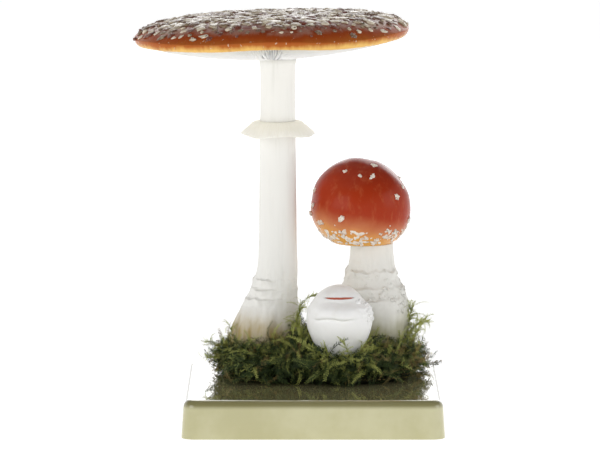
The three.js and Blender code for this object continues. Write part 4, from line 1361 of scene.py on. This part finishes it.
def button_hood(button):
    """The upper veil, from the tear to the crown."""
    parting = button.level + button.parting_rise
    rim = parting + VEIL_PARTING
    top = button.level + button.crown
    crown = button.crown - button.veil
    roof = button.level + crown
    outer = [(OUTSIDE, rim + (top - rim) * math.sin(a)) for a in steps(0, math.pi / 2, 24)]
    inner = [(INSIDE, rim + (roof - rim) * math.sin(a)) for a in steps(math.pi / 2, 0, 10)]
    bm = turned(outer + inner, BUTTON_SIDES, closed=True)

    def settle(radius, angle, level):
        near = 1 - ease(level, rim, parting + 5 * MM)
        if radius > NEAR_OUTSIDE:
            share = min((level - button.level) / button.crown, 1)
            level += near * (slit_open(button, angle) + 0.2 * MM * wander(angle, 0, 20, 1, 3))
            reach = button_skin(button, level, angle) if share < 0.999 else 0.0
            return upright(reach, angle, level)
        share = min((level - button.level) / crown, 1)
        level += near * slit_open(button, angle)
        return button_wall(button, share, level, angle)

    press(bm, settle)
    bmesh.ops.remove_doubles(bm, verts=bm.verts, dist=WELD)
    bmesh.ops.recalc_face_normals(bm, faces=bm.faces)
    return bm


def button_crumbs(button):
    """Torn crumbs of veil beside the tear."""

    def seat(draw, _):
        angle = draw.uniform(-0.75, -0.05)
        level = button.level + draw.uniform(0, 13) * MM
        spot = upright(button_skin(button, level, angle), angle, level)
        size = draw.uniform(0.5, 1.5) * MM
        return spot, upright(1, angle, 0.4), (size * draw.uniform(1, 1.7), size, size * 0.6)

    return strew(17, [lump(90 + i) for i in range(6)], button.crumbs, seat)


def button_core(button):
    radius = button.radius - button.veil - SEAT_GAP
    crown = button.crown - button.veil - SEAT_GAP
    dome = [(radius * math.cos(a), crown * math.sin(a)) for a in steps(0, math.pi / 2, 20)]
    bm = turned([(0, 0)] + dome, CORE_SIDES)
    shift(bm, (0, 0, button.level))

    def draw_up(reach, angle, level):
        return upright(reach * button_draw(button, level, angle), angle, level)

    return press(bm, draw_up)


# Fixings


def threaded_rod(fixings, node):
    low, high = box_of(node)
    radius = (high.y - low.y) / 2
    tail = min(low.z + ROD_THREAD, high.z)
    tip = [(0, low.z), (radius - fixings.depth - 0.3 * MM, low.z)]
    thread = [(radius, level) for level in steps(low.z + SOFT_EDGE, tail, 66)]
    end = [(radius, high.z - SOFT_EDGE), (radius - SOFT_EDGE, high.z), (0, high.z)]
    bm = turned(tip + thread + end, ROD_SIDES)

    def cut(distance, angle, level):
        if distance < radius - WELD or level > tail:
            return upright(distance, angle, level)
        phase = (level / fixings.pitch - angle / TURN) % 1
        return upright(distance - fixings.depth * abs(2 * phase - 1), angle, level)

    return press(bm, cut)


def hex_nut(fixings, node):
    low, high = box_of(node)
    flat = (high.y - low.y) / 2
    hole = ROD_BORE + SOFT_EDGE
    side = [low.z] + steps(low.z + 0.5 * MM, high.z - 0.5 * MM, 5) + [high.z]
    outer = [(OUTSIDE, level) for level in side]
    faces = [(flat * 0.93, high.z), (hole, high.z), (ROD_BORE, high.z - SOFT_EDGE)]
    under = [(ROD_BORE, low.z + SOFT_EDGE), (hole, low.z), (flat * 0.93, low.z)]
    bm = turned(outer + faces + under, NUT_SIDES, closed=True)
    middle = (low.z + high.z) / 2

    def shape(radius, angle, level):
        if radius < NEAR_OUTSIDE:
            return upright(radius, angle, level)
        reach = flat / math.cos(angle % (math.pi / 3) - math.pi / 6)
        drop = max(reach - 0.97 * flat, 0) * math.tan(fixings.chamfer)
        room = (high.z - low.z) / 2 - drop
        return upright(reach, angle, middle + max(min(level - middle, room), -room))

    press(bm, shape)
    bmesh.ops.remove_doubles(bm, verts=bm.verts, dist=WELD / 2)
    return bm


def flat_washer(node):
    low, high = box_of(node)
    outer, bore = (high.x - low.x) / 2, ROD_BORE
    soft = SOFT_EDGE / 2
    profile = [
        (bore, low.z + soft), (bore + soft, low.z), (outer - soft, low.z), (outer, low.z + soft),
        (outer, high.z - soft), (outer - soft, high.z), (bore + soft, high.z), (bore, high.z - soft),
    ]
    return turned(profile, WASHER_SIDES, closed=True)


# Moss

DRY_PATCH = 22 * MM
DRY_MIDDLE = 17 * MM
DRY_ENDS = (40 * MM, 66 * MM)
FRONT_RIM = (-50 * MM, -36 * MM)
LIT_LEVELS = (6 * MM, 22 * MM)
STEM_NEAR = 13 * MM
STEM_GAP = 0.5 * MM
TUFT_WIDTH = 13 * MM
SHOOT_FLOOR = 0.4 * MM


def frond(draw, moss, bend, pairs, tone, dry):
    """A leafy shoot that grows up and arches over: a thin strip with leaves in two rows."""
    bm = bmesh.new()
    tones = bm.verts.layers.float.new("tone")
    dries = bm.verts.layers.float.new("dry")

    def spine(share):
        arc = bend * share
        return Vector((1 - math.cos(arc), 0, math.sin(arc))) * (moss.reach / bend)

    strip = bmesh.ops.create_grid(bm, x_segments=1, y_segments=5, size=0.5)["verts"]
    for vertex in strip:
        share = vertex.co.y + 0.5
        width = 0.55 * MM * (1 - 0.6 * share)
        vertex.co = spine(share) + Vector((0, vertex.co.x * width, 0))
        vertex[tones] = tone + 0.25 * share - 0.15
        vertex[dries] = dry
    for i in range(pairs):
        share = 0.12 + 0.86 * i / (pairs - 1)
        arc = bend * share
        along = Vector((math.sin(arc), 0, math.cos(arc)))
        above = Vector((math.cos(arc), 0, -math.sin(arc)))
        size = moss.leaf * (0.55 + 0.75 * math.sin(math.pi * (0.12 + 0.8 * share)))
        for side in (-1, 1):
            open_by = draw.uniform(0.6, 1.05)
            aim = along * math.cos(open_by) + Vector((0, side * math.sin(open_by), 0))
            aim = (aim - above * draw.uniform(-0.15, 0.45)).normalized()
            wide = above.cross(aim).normalized()
            face = aim.cross(wide)
            axes = Matrix((aim, wide, face)).transposed().to_4x4()
            half = size * draw.uniform(0.4, 0.6)
            shape = Matrix.Diagonal((half, half * draw.uniform(0.2, 0.3), half, 1.0))
            seat = Matrix.Translation(spine(share)) @ axes @ shape @ Matrix.Translation((1, 0, 0))
            leaf = bmesh.ops.create_circle(bm, cap_ends=True, segments=4, radius=1.0, matrix=seat)
            for vertex in leaf["verts"]:
                vertex[tones] = tone + 0.35 * share + draw.uniform(-0.1, 0.1)
                vertex[dries] = dry
    return mesh_of("frond", bm), spine(1.0)


def frond_kinds(moss, draw):
    """Sets of shoots by tone: painted shade, green, painted lit tips and dry."""
    looks = {"shade": (0.1, 0.0), "green": (0.3, 0.0), "bright": (0.8, 0.05), "dry": (0.4, 0.75)}
    kinds = {}
    for name, (tone, dry) in looks.items():
        kinds[name] = [
            frond(draw, moss, draw.uniform(1.2, 3.4), draw.choice((15, 16, 17, 18)),
                  tone + draw.uniform(-0.1, 0.12), dry * draw.uniform(0.6, 1.2))
            for _ in range(8)
        ]
    return kinds


def pad_triangles(node):
    """The triangles of a moss pad that face up or outwards, with their areas."""
    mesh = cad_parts[node].data
    kept = []
    for face in mesh.polygons:
        corners = [mesh.vertices[i].co.copy() for i in face.vertices]
        centre = sum(corners, Vector()) / len(corners)
        outward = face.normal.z > -0.2 and cushion_edge(centre) > 0.86
        if face.normal.z > 0.35 or outward:
            kept.append((corners, face.normal.copy(), face.area))
    return kept


def stem_clearance(sizes, spot):
    """How far a point stands clear of the nearest stem."""
    clear = []
    for place, stem in ((OLD_PLACE, sizes.old_stem), (YOUNG_PLACE, sizes.young_stem)):
        level = spot.z - place.z
        across = spot.x - place.x + stem_lean(stem, level)
        radius = stem_radius(stem, max(level, 0), 0)
        clear.append(math.hypot(across, spot.y - place.y) - radius)
    level = spot.z - BUTTON_PLACE.z
    reach = button_radius(sizes.button, level) if level > 0 else sizes.button.stalk_radius
    clear.append(math.hypot(spot.x - BUTTON_PLACE.x, spot.y - BUTTON_PLACE.y) - reach)
    return min(clear)


def shoot_kind(draw, spot, clear):
    """Shoots painted lit by the stems and high up, painted shaded low and at the front, and dry ones in
    patches at the ends.
    """
    patch = noise.noise(spot / DRY_PATCH)
    behind = ease(spot.y, *FRONT_RIM)
    height = ease(spot.z - OLD_PLACE.z, *LIT_LEVELS) * (0.35 + 0.65 * behind)
    chance = draw.random()
    ends = ease(abs(spot.x - DRY_MIDDLE), *DRY_ENDS)
    if chance < 0.03 + 0.16 * ends + 0.12 * max(patch, 0):
        return "dry"
    # Painted light: shoots near the stems and high on the cushion more often get the lit tip tone, low
    # and front ones the shade tone
    near = (1 - ease(clear, 0, STEM_NEAR)) * (0.25 + 0.75 * height)
    if chance > 0.985 - 0.17 * height - 0.36 * near:
        return "bright"
    return "green" if chance > 0.7 - 0.45 * height else "shade"


def drift(draw):
    """A random step with no favoured direction."""
    return Vector([draw.gauss(0, 1) for _ in range(3)])


def grow_shoots(sizes, triangles, number, draw, kinds, size):
    """Leafy shoots over one pad, each arching away at random and clear of the stems."""
    bm = bmesh.new()
    floor = OLD_PLACE.z + SHOOT_FLOOR
    chosen = draw.choices(triangles, weights=[area for _, _, area in triangles], k=number)
    for corners, normal, _ in chosen:
        a, b = sorted((draw.random(), draw.random()))
        spot = corners[0] * a + corners[1] * (b - a) + corners[2] * (1 - b) - normal * 3 * MM
        spot = draw_in(spot)
        tuft = 0.95 + 0.7 * noise.noise(spot / TUFT_WIDTH)
        for _ in range(6):
            facing = (normal + Vector((0, 0, 0.15)) + 0.8 * drift(draw)).normalized()
            scale = size * draw.uniform(0.55, 1.15) * tuft
            seat = stand(spot, facing, draw.uniform(0, TURN), scale)
            middle = spot + facing * sizes.moss.reach * scale * 0.5
            shape, end = draw.choice(kinds[shoot_kind(draw, middle, stem_clearance(sizes, middle))])
            tip = seat @ end
            clear = min(stem_clearance(sizes, tip), stem_clearance(sizes, middle))
            if clear > STEM_GAP and tip.z > floor - 3 * MM:
                stamp(bm, shape, seat)
                break
    for vertex in bm.verts:
        vertex.co.z = max(vertex.co.z, floor)
    return bm


def path_points(corners, number):
    """Points and directions along a smooth curve through three corners."""
    start, middle, end = (Vector(corner) * MM for corner in corners)
    for share in steps(0, 1, number):
        blend = middle * 2 - (start + end) / 2
        spot = start * (1 - share) ** 2 + blend * 2 * share * (1 - share) + end * share ** 2
        yield spot, (blend - start) * (1 - share) + (end - blend) * share


def stray_sprigs(draw, kinds):
    """Longer sprigs that stand clear of the cushion, each a chain of small shoots."""
    bm = bmesh.new()
    for kind, number, size, *corners in SPRIGS:
        for spot, facing in path_points(corners, number):
            spot = spot + Vector((0, 0, OLD_PLACE.z))
            shape, _ = draw.choice(kinds[kind])
            for _ in range(4 if size > 0.3 else 2):
                aim = facing.normalized() + drift(draw) * (0.3 if size > 0.3 else 0.1)
                seat = stand(spot, aim, draw.uniform(0, TURN), size * draw.uniform(0.7, 1.2))
                stamp(bm, shape, seat)
    return bm


def cushion_edge(spot):
    """How far out a point lies in the whole cushion: one at its rim."""
    out = spot - CUSHION_MIDDLE
    return (abs(out.x / CUSHION_HALF.x) ** 3 + abs(out.y / CUSHION_HALF.y) ** 3) ** (1 / 3)


def draw_in(spot):
    """Draws a point near the cushion's rim inwards, to leave room for the shoots."""
    middle = CUSHION_MIDDLE
    share = 0.22 if spot.x < middle.x else 0.14
    inward = 1 - share * ease(cushion_edge(spot), 0.65, 1)
    x = middle.x + (spot.x - middle.x) * inward
    y = middle.y + (spot.y - middle.y) * inward
    return Vector((x, y, spot.z))


def pad_bed(node):
    """The dark ground of a pad: its solid drawn in at the rim and roughened."""
    bm = bmesh.new()
    bm.from_mesh(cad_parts[node].data)
    bmesh.ops.remove_doubles(bm, verts=bm.verts, dist=WELD)
    bmesh.ops.triangulate(bm, faces=bm.faces[:])
    long_edges = [edge for edge in bm.edges if edge.calc_length() > 5 * MM]
    bmesh.ops.subdivide_edges(bm, edges=long_edges, cuts=3, use_grid_fill=True)
    bmesh.ops.triangulate(bm, faces=bm.faces[:])
    for vertex in bm.verts:
        vertex.co = draw_in(vertex.co)
        if vertex.co.z > OLD_PLACE.z + 3 * MM:
            vertex.co.z -= (2.6 + 1.4 * noise.noise(vertex.co / (4 * MM))) * MM
    bm.normal_update()
    return bm


# Operators


class TOADSTOOL_OT_tray(Operator):
    """Mould the glossy tray"""

    bl_idname = "toadstool.tray"
    bl_label = "Tray"

    def execute(self, context):
        tray = context.scene.toadstool.tray
        gloss, centre = tray_gloss(tray), plan_centre("base_tray")
        piece = add_piece("tray", tray_shell(tray), gloss, ("base_tray",), centre)
        even_normals(piece)
        return {"FINISHED"}


class TOADSTOOL_OT_moss(Operator):
    """Lay the moss pads and grow their shoots"""

    bl_idname = "toadstool.moss"
    bl_label = "Moss"

    def execute(self, context):
        sizes = context.scene.toadstool
        draw = random.Random(sizes.moss.seed)
        soil, leaf = moss_soil(sizes.moss), moss_leaf(sizes.moss)
        kinds = frond_kinds(sizes.moss, draw)
        triangles = {pad: pad_triangles(pad) for pad in MOSS_PADS}
        whole = sum(area for kept in triangles.values() for _, _, area in kept)
        for pad, kept in triangles.items():
            number = round(sizes.moss.shoots * sum(area for _, _, area in kept) / whole / 2)
            add_piece(f"{pad}_ground", pad_bed(pad), soil, (pad,))
            for layer, share, size in (("under", 1.1, 0.9), ("upper", 0.75, 1.25)):
                shoots = grow_shoots(sizes, kept, round(share * number), draw, kinds, size)
                add_piece(f"{pad}_{layer}_shoots", shoots, leaf)
        sprigs = stray_sprigs(draw, kinds)
        add_piece("stray_sprigs", sprigs, leaf)
        discard([shape for shapes in kinds.values() for shape, _ in shapes])
        return {"FINISHED"}


class TOADSTOOL_OT_old_stem(Operator):
    """Turn the old toadstool's stem and its ring"""

    bl_idname = "toadstool.old_stem"
    bl_label = "Old stem and ring"

    def execute(self, context):
        sizes = context.scene.toadstool
        stem, ring = sizes.old_stem, sizes.ring
        body = stem_body(stem, OLD_SPIGOT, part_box("old_stem")[1][2] - OLD_PLACE.z)
        flesh = stem_flesh("old_stem_flesh", stem, OLD_PLACE)
        add_piece("old_stem_flesh", body, flesh, ("old_stem",), OLD_PLACE)
        hem = ring_hole(ring, stem) + ring.shelf + ring.skirt
        skirt, cream = ring_skirt(ring, stem), ring_flesh(ring, OLD_PLACE, hem)
        add_piece("old_ring_skirt", skirt, cream, ("old_ring",), OLD_PLACE)
        return {"FINISHED"}


class TOADSTOOL_OT_old_cap(Operator):
    """Turn the old cap and strew it with flakes"""

    bl_idname = "toadstool.old_cap"
    bl_label = "Old cap"

    def execute(self, context):
        sizes = context.scene.toadstool
        cap, hub = sizes.cap, sizes.gills.hub
        place = OLD_PLACE + Vector((0, 0, cap.level))
        middle = place + Vector((cap.offset, 0, 0))
        shell, skin = cap_shell(cap, hub), cap_skin(cap, middle)
        flakes, crust = cap_flakes(cap, hub), flake_crust(cap)
        add_piece("old_cap_skin", shell, skin, ("old_cap",), place)
        add_piece("old_cap_flakes", flakes, crust, place=place)
        return {"FINISHED"}


class TOADSTOOL_OT_gills(Operator):
    """Fan the gills out under the old cap"""

    bl_idname = "toadstool.gills"
    bl_label = "Gills"

    def execute(self, context):
        sizes = context.scene.toadstool
        place = OLD_PLACE + Vector((0, 0, sizes.cap.level))
        fan = gill_fan(sizes.gills, sizes.cap)
        flesh = gill_flesh(sizes.gills, sizes.cap, place + Vector((sizes.cap.offset, 0, 0)))
        piece = add_piece("old_gill_fan", fan, flesh, ("old_gills",), place)
        piece.data.set_sharp_from_angle(angle=GILL_CREASE)
        return {"FINISHED"}


class TOADSTOOL_OT_young_stem(Operator):
    """Turn the young toadstool's stem and set its scales"""

    bl_idname = "toadstool.young_stem"
    bl_label = "Young stem"

    def execute(self, context):
        stem = context.scene.toadstool.young_stem
        body = stem_body(stem, YOUNG_SPIGOT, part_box("young_stem")[1][2] - YOUNG_PLACE.z)
        flesh = stem_flesh("young_stem_flesh", stem, YOUNG_PLACE)
        add_piece("young_stem_flesh", body, flesh, ("young_stem",), YOUNG_PLACE)
        scales = stem_scales(stem)
        add_piece("young_stem_scales", scales, flesh, place=YOUNG_PLACE)
        return {"FINISHED"}


class TOADSTOOL_OT_ball_cap(Operator):
    """Turn the ball cap and dress it with its veil, warts and crumbs"""

    bl_idname = "toadstool.ball_cap"
    bl_label = "Ball cap"

    def execute(self, context):
        ball = context.scene.toadstool.ball
        place = YOUNG_PLACE + Vector((ball.offset, 0, ball.level))
        shell, skin = ball_shell(ball), ball_skin(ball, place)
        add_piece("ball_cap_skin", shell, skin, ("young_cap",), place)
        disc = veil_disc(ball, YOUNG_SPIGOT)
        felt = veil_felt("ball_veil_felt", BALL_VEIL, BALL_VEIL_SHADE)
        add_piece("ball_veil", disc, felt, ("young_veil",), place)
        crumb = wart_crumb(ball)
        add_piece("ball_warts", ball_warts(ball, place), crumb, wart_nodes())
        add_piece("ball_crumbs", ball_crumbs(ball), crumb, place=place)
        return {"FINISHED"}


class TOADSTOOL_OT_button(Operator):
    """Turn the button's torn veil and the red cap inside it"""

    bl_idname = "toadstool.button"
    bl_label = "Button"

    def execute(self, context):
        sizes = context.scene.toadstool
        button = sizes.button
        felt = veil_felt("button_felt", button.white, button.shade)
        place = BUTTON_PLACE
        cup, hood, core = button_cup(button), button_hood(button), button_core(button)
        lower = add_piece("button_lower_veil", cup, felt, ("button_cup",), place)
        upper = add_piece("button_upper_veil", hood, felt, ("button_hood",), place)
        for piece in (lower, upper):
            piece.data.set_sharp_from_angle(angle=VEIL_CREASE)
        # The lighter button red is painted light against the shade inside the tear
        skin = veil_felt("button_skin", button.red, sizes.ball.red)
        add_piece("button_crumbs", button_crumbs(button), felt, place=place)
        add_piece("button_red_cap", core, skin, ("button_cap",), place)
        return {"FINISHED"}


class TOADSTOOL_OT_fixings(Operator):
    """Cut the rods, nuts and washers that hold the toadstools to the tray"""

    bl_idname = "toadstool.fixings"
    bl_label = "Fixings"

    def execute(self, context):
        fixings = context.scene.toadstool.fixings
        steel = plated_steel(fixings)
        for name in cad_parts:
            if name.endswith("_rod"):
                bm = threaded_rod(fixings, name)
            elif name.endswith("_nut"):
                bm = hex_nut(fixings, name)
            elif name.endswith("_washer"):
                bm = flat_washer(name)
            else:
                continue
            piece = add_piece(f"{name}_steel", bm, steel, (name,), plan_centre(name))
            piece.data.set_sharp_from_angle(angle=STEEL_CREASE)
        return {"FINISHED"}


class TOADSTOOL_OT_stage(Operator):
    """Set the floor, the soft lights, the white surround and the camera"""

    bl_idname = "toadstool.stage"
    bl_label = "Stage"

    def execute(self, context):
        stage = context.scene.toadstool.stage
        lay_floor(stage)
        for light in LIGHTS:
            hang_light(*light)
        light_surround(context.scene)
        set_camera(context.scene, stage)
        context.scene.view_settings.view_transform = "Standard"
        return {"FINISHED"}


def lay_floor(stage):
    """A white floor lit from below a little, so that it stays pale and keeps the shadow."""
    finish = Finish("studio_floor", {"Roughness": 0.9, "Specular IOR Level": 0.1})
    dust = finish.grain(finish.place(), 30, 3)
    finish.feed({"Base Color": finish.mix(dust, stage.floor, FLOOR_DUST)})
    finish.feed({"Emission Color": (1, 1, 1), "Emission Strength": stage.floor_glow})
    bm = bmesh.new()
    bmesh.ops.create_grid(bm, x_segments=1, y_segments=1, size=FLOOR_HALF)
    mesh = mesh_of("studio_floor", bm)
    mesh.materials.append(finish.material)
    floor = bpy.data.objects.new("studio_floor", mesh)
    bpy.context.scene.collection.objects.link(floor)


def hang_light(name, place, size, power):
    lamp = bpy.data.lights.new(name, "AREA")
    lamp.size = size
    lamp.energy = power
    light = bpy.data.objects.new(name, lamp)
    light.location = place
    aim = LIGHT_AIM - Vector(place)
    light.rotation_euler = aim.to_track_quat("-Z", "Y").to_euler()
    bpy.context.scene.collection.objects.link(light)


def light_surround(scene):
    """White all round at the camera's level, fading overhead as in a studio with a dark ceiling."""
    world = bpy.data.worlds.new("white_surround")
    scene.world = world
    world.use_nodes = True
    sky = Nodes(world.node_tree)
    _, _, z = sky.parts(sky.node("ShaderNodeTexCoord", output="Generated"))
    glow = sky.between(z, 0.0, 0.75, 1.12, 0.15)
    seen = sky.node("ShaderNodeLightPath", output="Is Camera Ray")
    seen = seen + sky.node("ShaderNodeLightPath", output="Is Transmission Ray")
    mirrored = sky.node("ShaderNodeLightPath", output="Is Glossy Ray")
    seen = seen + mirrored * sky.between(z, 0.1, 0.6, 1.0, 0.0)
    back = world.node_tree.nodes["Background"]
    sky.plug(back.inputs["Color"], (1, 1, 1))
    sky.plug(back.inputs["Strength"], seen + (1 - seen) * glow)


def set_camera(scene, stage):
    lens = bpy.data.cameras.new("photo_camera")
    lens.lens = stage.lens
    lens.sensor_width = SENSOR_WIDTH
    lens.clip_end = CAMERA_CLIP
    camera = bpy.data.objects.new("photo_camera", lens)
    camera.location = (stage.side, -stage.distance, stage.eye)
    camera.rotation_euler = (math.pi / 2 - stage.pitch, 0, 0)
    scene.collection.objects.link(camera)
    scene.camera = camera


class TOADSTOOL_PT_sidebar(Panel):
    """Lists the pieces of the toadstool model"""

    bl_idname = "TOADSTOOL_PT_sidebar"
    bl_label = "Toadstool model"
    bl_space_type = "VIEW_3D"
    bl_region_type = "UI"
    bl_category = "Toadstool"

    def draw(self, context):
        for operator in OPERATORS:
            self.layout.operator(operator.bl_idname)


SIZES = (
    TraySizes, MossSizes, OldStemSizes, YoungStemSizes, RingSizes, CapSizes, GillSizes, BallSizes,
    ButtonSizes, FixingSizes, StageSizes, ToadstoolSizes,
)
OPERATORS = (
    TOADSTOOL_OT_stage, TOADSTOOL_OT_tray, TOADSTOOL_OT_old_stem, TOADSTOOL_OT_old_cap,
    TOADSTOOL_OT_gills, TOADSTOOL_OT_young_stem, TOADSTOOL_OT_ball_cap, TOADSTOOL_OT_button,
    TOADSTOOL_OT_fixings, TOADSTOOL_OT_moss,
)


def register():
    for kind in (*SIZES, *OPERATORS, TOADSTOOL_PT_sidebar):
        bpy.utils.register_class(kind)
    bpy.types.Scene.toadstool = PointerProperty(type=ToadstoolSizes)


def unregister():
    del bpy.types.Scene.toadstool
    for kind in reversed((*SIZES, *OPERATORS, TOADSTOOL_PT_sidebar)):
        bpy.utils.unregister_class(kind)


def main():
    register()
    bpy.ops.toadstool.stage()
    bpy.ops.toadstool.tray()
    bpy.ops.toadstool.old_stem()
    bpy.ops.toadstool.old_cap()
    bpy.ops.toadstool.gills()
    bpy.ops.toadstool.young_stem()
    bpy.ops.toadstool.ball_cap()
    bpy.ops.toadstool.button()
    bpy.ops.toadstool.fixings()
    bpy.ops.toadstool.moss()


if __name__ == "__main__":
    main()
